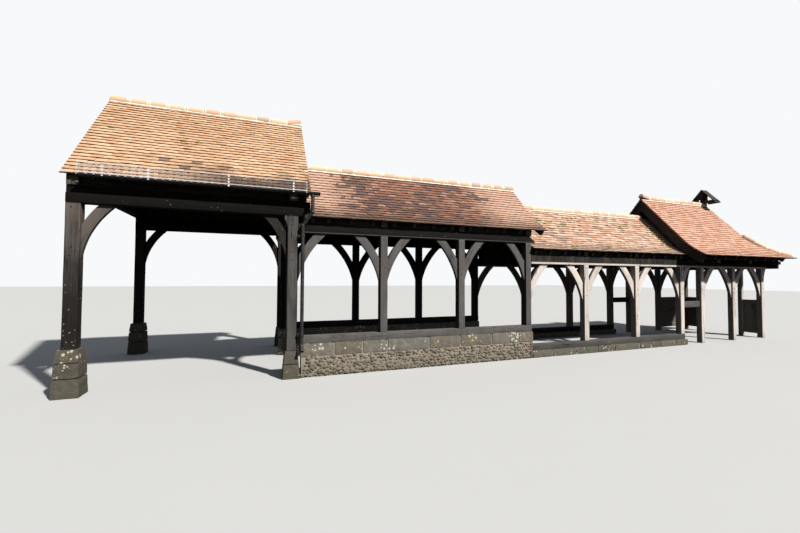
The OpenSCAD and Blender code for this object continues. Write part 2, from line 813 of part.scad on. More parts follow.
module gate_low_panels() {
    w = gate_post / 2;
    h = door_post / 2;
    color(oak) {
        for (back = [0, 1]) translate([0, back * walk_depth, 0]) mirror([0, back, 0]) {
            beam(street_x - board_t / 2, street_x + board_t / 2, w, door_y - h, panel_low, panel_top);
            for (z = [panel_low, panel_top - panel_rail_d])
                beam(street_x - rail_t / 2, street_x + rail_t / 2, w, door_y - h, z, z + panel_rail_d);
        }
        beam(gate_xs[1] + w, street_x - w, walk_depth - board_t / 2, walk_depth + board_t / 2,
            panel_low, panel_top);
        for (z = [panel_low, panel_top - panel_rail_d])
            beam(gate_xs[1] + w, street_x - w, walk_depth - rail_t / 2, walk_depth + rail_t / 2,
                z, z + panel_rail_d);
    }
}

module ridge_board(r, x0, x1) {
    along_x(x0, x1 - x0) ridge_board_outline(r);
}

module ridge_boards() {
    color(oak) {
        ridge_board(path_roof, path_left_x, path_right_x);
        ridge_board(upper_roof, upper_left_x, upper_right_x);
        ridge_board(lower_roof, lower_left_x, lower_right_x);
        ridge_board(gate_roof, gate_left_x + barge_in + barge_t, gate_right_x);
    }
}

module ridge_tiles() {
    color("burlywood") {
        ridge_cap(path_roof, path_left_x, path_right_x);
        ridge_cap(upper_roof, upper_left_x, upper_right_x);
        ridge_cap(lower_roof, lower_left_x, lower_right_x);
        ridge_cap(gate_roof, gate_left_x, gate_right_x);
        ridge_end(path_roof, path_right_x, 1);
        ridge_end(gate_roof, gate_left_x, -1);
    }
}

// Small canopy astride the street end of the ridge: boards on two frames with king posts, and
// the back half of the frame that faces the walk is boarded but for a small gap
canopy_half = 410;
canopy_pitch = 48;
canopy_t = 25;
canopy_len = 290;
canopy_frame_t = 60;
canopy_frame_xs = [gable_x - canopy_len / 2, gable_x + canopy_len / 2 - canopy_frame_t];
canopy_tie_d = 60;
canopy_gap = 50;
king_w = 70;
canopy_z = apex_z(gate_roof) + 45;

// The canopy's foot is cut to sit on the tiles and the ridge
module gate_canopy() {
    top = canopy_half * tan(canopy_pitch);
    v = canopy_t / cos(canopy_pitch);
    foot = canopy_z - ridge_r;
    color(oak) translate([0, ridge_y(gate_roof), 0]) difference() {
        translate([0, 0, canopy_z]) {
            along_x(gable_x - canopy_len / 2, canopy_len)
                polygon([[-canopy_half, 0], [0, top], [canopy_half, 0], [canopy_half, -v],
                    [0, top - v], [-canopy_half, -v]]);
            for (x = canopy_frame_xs) along_x(x, canopy_frame_t) {
                translate([-king_w / 2, foot - canopy_z]) square([king_w, top - foot + canopy_z - v]);
                intersection() {
                    polygon([[-canopy_half, -v], [0, top - v], [canopy_half, -v]]);
                    translate([-canopy_half, -v]) square([2 * canopy_half, canopy_tie_d + v]);
                }
            }
            along_x(canopy_frame_xs[0], canopy_t) difference() {
                polygon([[0, -v], [canopy_half, -v], [0, top - v]]);
                translate([king_w / 2, canopy_tie_d]) square(canopy_gap);
            }
        }
        along_x(gable_x - canopy_len, 2 * canopy_len)
            translate([0, apex_z(gate_roof) - ridge_drop]) circle(r = ridge_r);
        translate([0, -ridge_y(gate_roof), 0]) {
            along_x(gable_x - canopy_len, canopy_len + verge_out) polygon(under(gate_roof, 0));
            along_x(gable_x, canopy_len) polygon(under(gate_roof, tile_t));
        }
    }
}

path_bay_pads();
path_bay_posts();
path_bay_plates();
path_bay_tie_beams();
path_bay_braces();
path_bay_rafters();
path_bay_front_tiles();
path_bay_back_tiles();
path_bay_gable_boards();
gutter();
downpipe();
snow_guard();
walk_plinths();
walk_sills();
upper_walk_posts();
lower_walk_posts();
walk_plates();
walk_tie_beams();
upper_walk_braces();
lower_walk_braces();
upper_walk_rafters();
lower_walk_rafters();
upper_walk_front_tiles();
upper_walk_back_tiles();
lower_walk_front_tiles();
lower_walk_back_tiles();
walk_gable_boards();
link_rails();
gate_posts();
gate_door_posts();
gate_plates();
gate_cross_beams();
gate_eaves_plates();
gate_braces();
gate_rafters();
gate_hip_rafters();
gate_front_tiles();
gate_back_tiles();
gate_end_tiles();
gate_gable_boards();
gate_bargeboards();
gate_low_panels();
ridge_boards();
ridge_tiles();
gate_canopy();
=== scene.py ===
# The looks of the timber lychgate, its covered walk and its path bay.
import math
import random
import bmesh
import bpy
import numpy as np
from mathutils import Matrix, Vector, noise


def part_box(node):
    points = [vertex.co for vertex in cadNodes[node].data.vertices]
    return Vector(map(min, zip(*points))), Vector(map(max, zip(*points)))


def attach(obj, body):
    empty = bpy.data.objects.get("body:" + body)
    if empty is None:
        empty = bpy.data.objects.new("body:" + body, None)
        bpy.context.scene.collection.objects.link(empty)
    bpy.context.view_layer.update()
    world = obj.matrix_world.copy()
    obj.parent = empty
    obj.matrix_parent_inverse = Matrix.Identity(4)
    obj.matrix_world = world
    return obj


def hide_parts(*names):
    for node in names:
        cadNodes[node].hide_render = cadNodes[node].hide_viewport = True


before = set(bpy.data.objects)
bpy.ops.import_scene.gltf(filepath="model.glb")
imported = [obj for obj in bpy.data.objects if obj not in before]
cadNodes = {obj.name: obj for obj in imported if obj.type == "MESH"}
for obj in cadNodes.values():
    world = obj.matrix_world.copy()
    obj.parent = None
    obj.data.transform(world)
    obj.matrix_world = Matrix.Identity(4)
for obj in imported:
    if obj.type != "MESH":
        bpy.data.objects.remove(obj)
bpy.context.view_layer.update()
print("frame loaded,", len(cadNodes), "nodes")


# Small helpers for shader nodes

class Output:
    # An output of a shader node; [name] is another output of that node, and + - * make Math nodes
    def __init__(self, socket):
        self.socket = socket
        self.tree = socket.id_data

    def __getitem__(self, name):
        return Output(self.socket.node.outputs[name])

    def __add__(self, other):
        return self.mathBy("ADD", other)

    def __sub__(self, other):
        return self.mathBy("SUBTRACT", other)

    def __mul__(self, other):
        return self.mathBy("MULTIPLY", other)

    def most(self, other):
        return self.mathBy("MAXIMUM", other)

    def mathBy(self, operation, other=0.0, clamp=False):
        return put(self.tree, "Math", {0: self, 1: other}, operation=operation, use_clamp=clamp)

    def spread(self, low, high, toLow=0.0, toHigh=1.0):
        values = {"Value": self, "From Min": low, "From Max": high, "To Min": toLow, "To Max": toHigh}
        return put(self.tree, "MapRange", values, clamp=True)

    def blend(self, first, second):
        # Goes from the first colour to the second by this amount
        return put(self.tree, "Mix", {0: self, 6: first, 7: second}, data_type="RGBA")[2]

    def stretch(self, *scale):
        return put(self.tree, "Mapping", {"Vector": self, "Scale": scale})

    def cloud(self, scale, detail=4.0, rough=0.55, warp=0.0):
        values = {"Vector": self, "Scale": scale, "Detail": detail, "Roughness": rough, "Distortion": warp}
        return put(self.tree, "TexNoise", values)

    def axes(self):
        return put(self.tree, "SeparateXYZ", {0: self})

    def channels(self):
        return put(self.tree, "SeparateColor", {0: self})

    def through(self, group, values):
        # Leads a point into a node group
        return put(self.tree, "Group", {"Point": self, **values}, node_tree=group)


def feed(socket, value):
    # The value is an output, a number, a vector or a colour
    if isinstance(value, Output):
        socket.id_data.links.new(value.socket, socket)
    else:
        socket.default_value = (*value, 1) if socket.type == "RGBA" else value


def put(tree, kind, inputs=None, **settings):
    node = tree.nodes.new("ShaderNode" + kind)
    for key, value in settings.items():
        setattr(node, key, value)
    for key, value in (inputs or {}).items():
        feed(node.inputs[key], value)
    return Output(node.outputs[0]) if node.outputs else node


def openGroup(name, inputs):
    # An input without a value is a vector
    group = bpy.data.node_groups.new(name, "ShaderNodeTree")
    for label, value in inputs.items():
        kind = "Vector" if value is None else "Color" if isinstance(value, tuple) else "Float"
        socket = group.interface.new_socket(label, in_out="INPUT", socket_type="NodeSocket" + kind)
        if value is not None:
            socket.default_value = value
    return Output(group.nodes.new("NodeGroupInput").outputs[0])


def closeGroup(group, results):
    for label, value in results.items():
        kind = "Color" if value.socket.type == "RGBA" else "Float"
        group.interface.new_socket(label, in_out="OUTPUT", socket_type="NodeSocket" + kind)
    end = group.nodes.new("NodeGroupOutput")
    for label, value in results.items():
        feed(end.inputs[label], value)
    return group


def newMaterial(name):
    material = bpy.data.materials.new(name)
    material.use_nodes = True
    material.node_tree.nodes.clear()
    return material, put(material.node_tree, "TexCoord")["Object"]


def attribute(point, name):
    return put(point.tree, "Attribute", attribute_name=name)


def finishMaterial(material, colour, rough, height, distance, strength=1.0, specular=0.5, metallic=0.0):
    tree = material.node_tree
    bump = put(tree, "Bump", {"Height": height, "Distance": distance, "Strength": strength})
    values = {"Base Color": colour, "Roughness": rough, "Normal": bump, "Specular IOR Level": specular,
              "Metallic": metallic}
    put(tree, "OutputMaterial", {"Surface": put(tree, "BsdfPrincipled", values)})
    return material


# Camera and studio

cameraView = {
    "place": (-0.578, -7.188, 1.815),  # metres, in the part's own frame
    "turn": 20.594,  # degrees from +Y towards +X
    "tilt": 1.785,  # degrees above level
    "roll": 0.266,
    "focalPixels": 377.0,
    "imageWidth": 800.0,
    "sensorWidth": 36.0,
    "farthest": 500,
}

studio = {
    "floorSide": 160.0,
    "floorColour": (0.43, 0.448, 0.47),
    "floorPatches": (0.39, 0.405, 0.43),
    "floorBounce": (0.055, 0.053, 0.049),  # what the floor throws back on the timbers
    "backdrop": (0.93, 0.945, 0.96),
    "skyColour": (0.88, 0.94, 1.0),
    "skyStrength": 0.25,
    "sunColour": (1.0, 0.94, 0.85),
    "sunStrength": 6.9,
    "sunAside": 32.0,  # degrees to the right of the viewer's side
    "sunHeight": 44.0,  # degrees above level
    "sunSoftness": 2.5,  # degrees
}


def towards(turn, height):
    return Vector((math.sin(turn) * math.cos(height), math.cos(turn) * math.cos(height), math.sin(height)))


def placeCamera(view):
    turn, tilt, roll = (math.radians(view[key]) for key in ("turn", "tilt", "roll"))
    ahead = towards(turn, tilt)
    level = Vector((math.cos(turn), -math.sin(turn), 0))
    above = level.cross(ahead)
    right = level * math.cos(roll) + above * math.sin(roll)
    up = above * math.cos(roll) - level * math.sin(roll)
    data = bpy.data.cameras.new("photoCamera")
    data.sensor_width = view["sensorWidth"]
    data.lens = view["focalPixels"] / view["imageWidth"] * view["sensorWidth"]
    data.clip_end = view["farthest"]
    camera = bpy.data.objects.new("photoCamera", data)
    turned = Matrix((right, up, -ahead)).transposed().to_4x4()
    camera.matrix_world = Matrix.Translation(view["place"]) @ turned
    bpy.context.scene.collection.objects.link(camera)
    bpy.context.scene.camera = camera


def lightStudio(settings):
    world = bpy.data.worlds.new("paleSky")
    world.use_nodes = True
    tree = world.node_tree
    tree.nodes.clear()
    light = put(tree, "Background", {"Color": settings["skyColour"], "Strength": settings["skyStrength"]})
    seen = put(tree, "Background", {"Color": settings["backdrop"]})
    ray = put(tree, "LightPath")["Is Camera Ray"]
    put(tree, "OutputWorld", {"Surface": put(tree, "MixShader", {0: ray, 1: light, 2: seen})})
    bpy.context.scene.view_settings.view_transform = "Standard"
    bpy.context.scene.world = world
    data = bpy.data.lights.new("sunKey", "SUN")
    data.energy = settings["sunStrength"]
    data.color = settings["sunColour"]
    data.angle = math.radians(settings["sunSoftness"])
    sun = bpy.data.objects.new("sunKey", data)
    turn, height = math.radians(180 - settings["sunAside"]), math.radians(settings["sunHeight"])
    sun.rotation_euler = towards(turn, height).to_track_quat("Z", "Y").to_euler()
    bpy.context.scene.collection.objects.link(sun)


placeCamera(cameraView)
lightStudio(studio)
print("camera and light placed")


# Shared effects, each a node group

def makeTimberGrain():
    given = openGroup("timberGrain", {"Point": None, "Crack Amount": 1.0})
    point = given["Point"]
    fibre = point.stretch(2.2, 55, 55).cloud(1.0, 8, 0.62, 0.4)
    streak = point.stretch(0.9, 17, 17).cloud(1.0, 4, 0.5, 0.8)
    split = point.stretch(0.7, 24, 24).cloud(1.0, 2, 0.4, 1.0)
    blotch = point.stretch(1.1, 4.5, 4.5).cloud(1.0, 5, 0.6)
    line = (split - 0.5).mathBy("ABSOLUTE").spread(0.004, 0.016, 1, 0)
    patch = point.stretch(1.4, 3, 3).cloud(1.0, 2).spread(0.46, 0.58)
    crack = (line * patch).mathBy("MULTIPLY", given["Crack Amount"], True)
    both = fibre * 0.65 + streak * 0.35
    height = both * 0.6 - crack * 0.7
    return closeGroup(given.tree, {"Fibre": both, "Crack": crack, "Blotch": blotch, "Height": height})


def makeLichen():
    given = openGroup("lichenSpots", {"Point": None, "Size": 9.0, "Cover": 0.3})
    point = given["Point"]
    cells = put(given.tree, "TexVoronoi", {"Vector": point, "Scale": given["Size"]})
    edge = point.cloud(60, 4, 0.6)
    wanted = point.cloud(1.7, 3, 0.6).spread(0.4, 0.66) * given["Cover"]
    mask = (wanted + 0.12 - (cells["Distance"] + edge * 0.35)).spread(-0.03, 0.03)
    return closeGroup(given.tree, {"Mask": mask, "Height": mask * edge})


def makeStain():
    given = openGroup("rainStain", {"Color": (0.5, 0.5, 0.5, 1), "Point": None,
                                    "Stain": (0.05, 0.045, 0.04, 1), "Amount": 0.5, "Damp Height": 0.4})
    point = given["Point"]
    drips = point.stretch(9, 9, 0.8).cloud(1.0, 5, 0.6).spread(0.45, 0.72)
    wavy = point.axes()["Z"] + point.cloud(3, 4) * -0.35
    mask = (drips * 0.7).most(wavy.spread(given["Damp Height"], 0.0))
    amount = mask.mathBy("MULTIPLY", given["Amount"], True)
    return closeGroup(given.tree, {"Color": amount.blend(given["Color"], given["Stain"])})


def makePores():
    given = openGroup("finePores", {"Point": None, "Size": 120.0})
    grain = given["Point"].cloud(given["Size"], 5, 0.7)
    lumps = given["Point"].cloud(14, 4, 0.6)
    return closeGroup(given.tree, {"Height": grain * 0.4 + lumps, "Grit": grain.spread(0.4, 0.62)})


timberGrain = makeTimberGrain()
lichenSpots = makeLichen()
rainStain = makeStain()
finePores = makePores()


# Materials

paintedLightAndTints = {  # stretches along X, Y or Z, in metres, over which painted shade, painted light or a paler tint grows
    "backRow": (0.25, 1.3),  # along Y, painted shade on the back row, which gets no sun
    "leeX": (-1.6, -2.8),  # along X, painted shade at the left end of the path bay
    "leeDry": (1.9, 2.5),  # from this height up, painted light lifts it to a pale brown
    "leeDamp": (2.5, 1.5),  # and from this height down, painted shade darkens it
    "leftEnd": (2.1, 1.4),  # along X, the ends of the upper roof are paler
    "rightEnd": (4.8, 5.5),
    "lowCourses": (-2.3, -1.0),  # along X, over which painted shade grows to the right on the path bay's lowest courses and on the guard's wires
    "wires": (-2.2, -1.2),
}

oakUsual = {
    "inner": (0.012, 0.01, 0.009),  # the colour of painted shade
    "lee": 0.0,  # share of painted shade at the left end of the path bay
    "shelter": 9.0,  # height above which a timber lies close under the eaves and gets painted shade
    "ends": 0.0,  # how pale cut ends facing the front are, painted sunlight
    "crack": 1.0,
    "stain": 0.4,
}
# Lit and shaded copies of one weathered oak: the path bay, upper walk, braces and roof frame are darkened
# with painted shade, the lower walk and gate paled with painted sunlight
oakLooks = {
    "oakPathBay": {"dark": (0.008, 0.007, 0.006), "mid": (0.031, 0.0295, 0.029),
                   "light": (0.098, 0.095, 0.097), "lee": 0.9, "shelter": 2.93},
    "oakUpperWalk": {"dark": (0.013, 0.012, 0.011), "mid": (0.047, 0.0455, 0.046),
                     "light": (0.135, 0.132, 0.135), "shelter": 2.655},
    "oakLowerWalk": {"dark": (0.2, 0.18, 0.155), "mid": (0.48, 0.435, 0.418), "light": (0.72, 0.665, 0.645),
                     "inner": (0.045, 0.04, 0.035), "shelter": 2.2, "stain": 0.25},
    "oakRoofFrame": {"dark": (0.007, 0.006, 0.005), "mid": (0.022, 0.019, 0.016),
                     "light": (0.055, 0.048, 0.041), "inner": (0.016, 0.013, 0.011), "ends": 0.25,
                     "crack": 0.7, "stain": 0.3},
    "oakBracesPaintedShade": {"dark": (0.004, 0.0037, 0.0034), "mid": (0.012, 0.011, 0.01),
                  "light": (0.035, 0.032, 0.029), "crack": 0.8, "stain": 0.3},
    "oakBoards": {"dark": (0.01, 0.009, 0.008), "mid": (0.034, 0.03, 0.028), "light": (0.1, 0.092, 0.085),
                  "inner": (0.022, 0.019, 0.017), "crack": 0.8, "stain": 0.45},
}


def makeOak(name):
    look = {**oakUsual, **oakLooks[name]}
    material, point = newMaterial(name)
    tone = attribute(point, "pieceTone").channels()
    grain = attribute(point, "grainPoint")["Vector"].through(timberGrain, {"Crack Amount": look["crack"]})
    place = point.axes()
    facing = put(point.tree, "NewGeometry")["Normal"].axes()
    shade = grain["Fibre"].spread(0.3, 0.7) + tone["Red"] * 0.3 + grain["Blotch"].spread(0.3, 0.7, -0.45, 0.3)
    colour = shade.spread(0.0, 0.75).blend(look["dark"], look["mid"])
    colour = shade.spread(0.6, 1.45).blend(colour, look["light"])
    colour = (tone["Green"] * 0.55).blend(colour, look["light"])
    # Painted shade: what faces away from the sun, stands in the back row, lies at the left end or close under
    # the eaves is darkened
    paintedShade = facing["X"].spread(-0.25, -0.8, 0, 0.75).most(place["Y"].spread(*paintedLightAndTints["backRow"], 0, 0.9))
    lee = place["X"].spread(*paintedLightAndTints["leeX"], 0, look["lee"])
    # Painted light lifts the upper part of the left end to a pale brown, and painted shade darkens its foot
    paler = lee * place["Z"].spread(*paintedLightAndTints["leeDry"], 0, 0.5)
    colour = paler.blend(colour, (0.135, 0.108, 0.094))
    colour = paintedShade.most(lee * place["Z"].spread(*paintedLightAndTints["leeDamp"])).blend(colour, look["inner"])
    colour = facing["Z"].spread(0.4, 1.0, 0, 0.35).blend(colour, look["light"])
    # Painted shade of the eaves: above this height a timber is near black
    eaveShade = place["Z"].spread(look["shelter"], look["shelter"] + 0.02, 0, 0.985)
    colour = eaveShade.blend(colour, (0.003, 0.0027, 0.0025))
    # Painted sunlight on cut ends that face the front
    ends = facing["Y"].spread(-0.5, -0.8) * look["ends"] * tone["Blue"]
    colour = ends.blend(colour, (0.34, 0.31, 0.27))
    stained = point.through(rainStain, {"Color": colour, "Stain": look["dark"], "Amount": look["stain"],
                                        "Damp Height": 0.35})
    lichen = point.through(lichenSpots, {"Size": 16.0, "Cover": 0.22})
    colour = (lichen["Mask"] * 0.55).blend(stained["Color"], (0.36, 0.37, 0.3))
    colour = grain["Crack"].blend(colour, (0.008, 0.006, 0.005))
    rough = grain["Fibre"].spread(0.2, 0.8, 0.92, 0.72)
    height = grain["Height"] + lichen["Height"] * 0.2
    return finishMaterial(material, colour, rough, height, 0.006, 0.9, 0.12)


tileUsual = {"paleShare": 1.0, "greyPatch": 0.0, "redShare": 0.3, "dirt": 0.25, "ends": 0.0,
             "low": (0.3, 0.22, 0.17), "lowEdge": (0.44, 0.2)}
tileLooks = {
    "pathRoofClay": {"base": (0.67, 0.43, 0.265), "pale": (0.8, 0.585, 0.405), "red": (0.6, 0.33, 0.19),
                     "redShare": 0.22, "grey": (0.17, 0.165, 0.17), "greyShare": 0.0, "lichen": 0.05,
                     "low": (0.1, 0.06, 0.046), "lowShare": 0.95, "lowEdge": (0.395, 0.315)},
    "upperRoofClay": {"base": (0.28, 0.122, 0.09), "pale": (0.88, 0.59, 0.46), "red": (0.24, 0.095, 0.068),
                      "paleShare": 0.42, "grey": (0.07, 0.066, 0.08), "greyShare": 0.1, "greyPatch": 0.8,
                      "redShare": 0.45, "dirt": 0.45, "lichen": 0.08, "low": (0.07, 0.054, 0.05),
                      "lowShare": 0.92, "ends": 0.95},
    "lowerRoofClay": {"base": (0.77, 0.53, 0.415), "pale": (0.87, 0.685, 0.575), "red": (0.58, 0.3, 0.19),
                      "redShare": 0.35, "grey": (0.34, 0.28, 0.25), "greyShare": 0.05, "greyPatch": 0.25,
                      "dirt": 0.3, "lichen": 0.16, "low": (0.42, 0.36, 0.29), "lowShare": 0.75},
    "gateRoofClay": {"base": (0.71, 0.415, 0.31), "pale": (0.81, 0.515, 0.41), "red": (0.58, 0.28, 0.19),
                     "grey": (0.4, 0.28, 0.22), "greyShare": 0.02, "lichen": 0.04, "lowShare": 0.1},
    "ridgeClay": {"base": (0.8, 0.5, 0.35), "pale": (0.88, 0.7, 0.5), "red": (0.74, 0.42, 0.3),
                  "grey": (0.5, 0.4, 0.3), "greyShare": 0.05, "dirt": 0.2, "lichen": 0.12, "lowShare": 0.0},
}


def makeClay(name):
    look = {**tileUsual, **tileLooks[name]}
    material, point = newMaterial(name)
    piece = attribute(point, "pieceTone")
    tone = piece.channels()
    across = point.axes()["X"]
    broad = point.cloud(1.3, 4, 0.6)
    pores = point.through(finePores, {"Size": 160.0})
    colour = (tone["Red"] * look["paleShare"]).blend(look["base"], look["pale"])
    reddened = tone["Green"].spread(1 - look["redShare"] - 0.08, 1 - look["redShare"] + 0.08)
    colour = (reddened * 0.75).blend(colour, look["red"])
    # Towards its ends a roof is paler
    uneven = across + broad * 1.4
    ends = uneven.spread(*paintedLightAndTints["leftEnd"]).most(uneven.spread(*paintedLightAndTints["rightEnd"])) * look["ends"]
    colour = ends.blend(colour, look["pale"])
    # Some tiles are grey: by chance, in patches, and those that were put in as mends
    cast = (tone["Red"] * 37.0).mathBy("FRACT")
    patch = point.cloud(0.75, 3, 0.6).spread(0.47, 0.62, 0, look["greyPatch"])
    greyed = (cast + (patch + look["greyShare"] - ends)).spread(0.99, 1.01)
    colour = (greyed * 0.85).most(tone["Green"].spread(1.5, 1.6)).blend(colour, look["grey"])
    fired = point.cloud(21, 5, 0.6).spread(0.35, 0.75)
    colour = (fired * 0.3).blend(colour, look["red"])
    # The lowest courses take the low colour: a grey-green tint on the lower walk, darker on the upper walk,
    # and painted shade under the path bay's guard, growing to the right
    low = (tone["Blue"] + broad * 0.45).spread(*look["lowEdge"])
    lowShare = across.spread(*paintedLightAndTints["lowCourses"], look["lowShare"] * 0.1, look["lowShare"])
    colour = (low * lowShare).blend(colour, look["low"])
    stained = point.through(rainStain, {"Color": colour, "Stain": (0.12, 0.07, 0.05), "Amount": look["dirt"],
                                        "Damp Height": -9.0})
    lichen = point.through(lichenSpots, {"Size": 17.0, "Cover": look["lichen"] * 2})
    colour = (lichen["Mask"] * 0.75).blend(stained["Color"], (0.42, 0.37, 0.15))
    colour = (pores["Grit"] * 0.1).blend(colour, (0.1, 0.06, 0.04))
    # Tile tails and undersides are darkened: painted shade under each course, with some dirt on the tails
    colour = piece["Alpha"].spread(0.95, 0.3).blend(colour, (0.05, 0.022, 0.014))
    rough = pores["Height"].spread(0.3, 1.1, 0.75, 0.95)
    return finishMaterial(material, colour, rough, pores["Height"], 0.002, 0.7, 0.3)


stoneLooks = {
    "limestone": {"base": (0.18, 0.172, 0.16), "dark": (0.063, 0.06, 0.055), "warm": (0.18, 0.153, 0.115),
                  "stain": 0.5, "damp": 0.25, "lichen": 0.5, "bump": 0.012},
    # The pads are the limestone made darker: partly painted shade, partly dirt
    "padStone": {"base": (0.094, 0.088, 0.081), "dark": (0.045, 0.042, 0.038), "warm": (0.12, 0.1, 0.072),
                 "stain": 0.5, "damp": 0.35, "lichen": 0.35, "bump": 0.012},
    "flint": {"base": (0.22, 0.205, 0.18), "dark": (0.045, 0.043, 0.043), "warm": (0.3, 0.21, 0.145),
              "stain": 0.35, "damp": 0.25, "lichen": 0.2, "bump": 0.003},
    "limeMortar": {"base": (0.32, 0.295, 0.255), "dark": (0.18, 0.163, 0.14), "warm": (0.31, 0.26, 0.19),
                   "stain": 0.3, "damp": 0.2, "lichen": 0.15, "bump": 0.006},
    "whiteMortar": {"base": (0.9, 0.87, 0.8), "dark": (0.76, 0.71, 0.62), "warm": (0.88, 0.78, 0.64),
                    "stain": 0.08, "damp": -9.0, "lichen": 0.04, "bump": 0.004},
}


def makeStone(name):
    look = stoneLooks[name]
    material, point = newMaterial(name)
    tone = attribute(point, "pieceTone").channels()
    pores = point.through(finePores, {"Size": 90.0})
    colour = (tone["Red"] * 0.7).blend(look["base"], look["dark"])
    colour = (tone["Green"] * 0.6).blend(colour, look["warm"])
    mottled = point.cloud(9, 6, 0.65).spread(0.38, 0.66)
    colour = (mottled * 0.45).blend(colour, look["dark"])
    stained = point.through(rainStain, {"Color": colour, "Stain": (0.07, 0.07, 0.045),
                                        "Amount": look["stain"], "Damp Height": look["damp"]})
    pale = point.through(lichenSpots, {"Size": 13.0, "Cover": look["lichen"]})
    shifted = point.stretch(1.31, 1.31, 1.31)
    ochre = shifted.through(lichenSpots, {"Size": 21.0, "Cover": look["lichen"] * 0.7})
    colour = (pale["Mask"] * 0.7).blend(stained["Color"], (0.55, 0.55, 0.47))
    colour = (ochre["Mask"] * 0.7).blend(colour, (0.42, 0.3, 0.06))
    rough = pores["Height"].spread(0.3, 1.1, 0.8, 0.95)
    return finishMaterial(material, colour, rough, pores["Height"] + pale["Height"] * 0.4, look["bump"],
                          specular=0.3)


def makeIron():
    material, point = newMaterial("blackIron")
    worn = point.cloud(26, 6, 0.65).spread(0.55, 0.68)
    dusty = point.cloud(5, 4).spread(0.35, 0.75, 0, 0.5)
    colour = dusty.blend((0.012, 0.013, 0.016), (0.06, 0.062, 0.068))
    colour = (worn * 0.6).blend(colour, (0.13, 0.06, 0.03))
    return finishMaterial(material, colour, worn.spread(0, 1, 0.42, 0.85), point.cloud(70, 4), 0.0015)


def makeZinc(name, dark, light, paintedShadeShare):
    material, point = newMaterial(name)
    spangle = put(point.tree, "TexVoronoi", {"Vector": point, "Scale": 90.0})["Color"]
    flake = spangle.channels()["Red"]
    dull = point.cloud(12, 4).spread(0.4, 0.7, 0, 0.4)
    colour = dull.blend(flake.blend(dark, light), (0.42, 0.42, 0.41))
    # Painted shade on the guard's wires, growing to the right
    paintedShadeRight = point.axes()["X"].spread(*paintedLightAndTints["wires"], 0, paintedShadeShare)
    colour = paintedShadeRight.blend(colour, (0.09, 0.095, 0.1))
    return finishMaterial(material, colour, flake.spread(0, 1, 0.35, 0.6), flake, 0.0005, 0.4, metallic=0.25)


def makeMoss():
    material, point = newMaterial("mossGreen")
    tufts = point.cloud(140, 6, 0.7)
    colour = tufts.spread(0.35, 0.65).blend((0.085, 0.08, 0.02), (0.27, 0.24, 0.06))
    paler = point.cloud(16, 3).spread(0.5, 0.65)
    colour = (paler * 0.6).blend(colour, (0.3, 0.26, 0.07))
    return finishMaterial(material, colour, tufts.spread(0, 1, 0.85, 1), tufts, 0.01)


def makeFloor():
    material, point = newMaterial("paleFloor")
    soft = point.cloud(0.6, 3).spread(0.3, 0.7)
    colour = (soft * 0.1).blend(studio["floorColour"], studio["floorPatches"])
    seen = put(point.tree, "BsdfPrincipled", {"Base Color": colour, "Roughness": 0.9})
    dim = put(point.tree, "BsdfDiffuse", {"Color": studio["floorBounce"]})
    ray = put(point.tree, "LightPath")["Is Camera Ray"]
    put(point.tree, "OutputMaterial", {"Surface": put(point.tree, "MixShader", {0: ray, 1: dim, 2: seen})})
    return material


oak = {name: makeOak(name) for name in oakLooks}
clay = {name: makeClay(name) for name in tileLooks}
stone = {name: makeStone(name) for name in stoneLooks}
blackIron = makeIron()
galvanised = makeZinc("galvanisedSteel", (0.66, 0.69, 0.72), (0.86, 0.88, 0.9), 0.0)
wireSteel = makeZinc("wireSteel", (0.33, 0.36, 0.4), (0.5, 0.54, 0.59), 0.93)
mossGreen = makeMoss()
print("materials made,", len(bpy.data.materials))


# Shared ways of making pieces

def addPiece(name, mesh, material, replaced=()):
    piece = bpy.data.objects.new(name, mesh)
    mesh.materials.append(material)
    bpy.context.scene.collection.objects.link(piece)
    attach(piece, "root")
    if replaced:
        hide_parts(*replaced)
    return piece


def shadeMesh(mesh, smooth):
    # smooth is the angle from which an edge stays sharp; 0 keeps all faces flat
    mesh.polygons.foreach_set("use_smooth", [smooth > 0] * len(mesh.polygons))
    if smooth:
        mesh.set_sharp_from_angle(angle=math.radians(smooth))


def cutAt(bm, place, normal, clear=False):
    geometry = bm.verts[:] + bm.edges[:] + bm.faces[:]
    bmesh.ops.bisect_plane(bm, geom=geometry, dist=1e-6, plane_co=place, plane_no=normal, clear_outer=clear)


def cutAcross(bm, axis, step):
    values = [vert.co[axis] for vert in bm.verts]
    low, high = min(values), max(values)
    normal = Vector([1.0 if i == axis else 0.0 for i in range(3)])
    count = max(1, round((high - low) / step))
    for i in range(1, count):
        cutAt(bm, normal * (low + (high - low) * i / count), normal)


def sway(rng, reach):
    return rng.uniform(-reach, reach)


class Heap:
    # The points, faces and tones of a piece that is made bit by bit
    def __init__(self):
        self.points, self.faces, self.tones = [], [], []

    def add(self, points, faces, tones):
        # The faces count from the first of these points; tones is one tone or a list
        base = len(self.points)
        self.points += points
        self.tones += tones if isinstance(tones, list) else [tones] * len(points)
        self.faces += [tuple(base + i for i in face) for face in faces]

    def place(self, name, material, slot, replaced=(), smooth=0, outward=False, grain=None, step=0.0):
        # grain is the order of the axes along and across the grain, step the distance between cuts across X
        mesh = bpy.data.meshes.new(name)
        mesh.from_pydata(self.points, [], self.faces)
        tones = mesh.attributes.new("pieceTone", "FLOAT_COLOR", "POINT")
        tones.data.foreach_set("color", np.array(self.tones, np.float32).ravel())
        if outward or grain:
            bm = bmesh.new()
            bm.from_mesh(mesh)
            bmesh.ops.recalc_face_normals(bm, faces=bm.faces)
            if step:
                cutAcross(bm, 0, step)
            if grain:
                layer = bm.verts.layers.float_vector.new("grainPoint")
                for vert in bm.verts:
                    vert[layer] = [vert.co[i] for i in grain]
            bm.to_mesh(mesh)
            bm.free()
        shadeMesh(mesh, smooth)
        mesh.update()
        return addPiece(name, mesh, material, replaced)


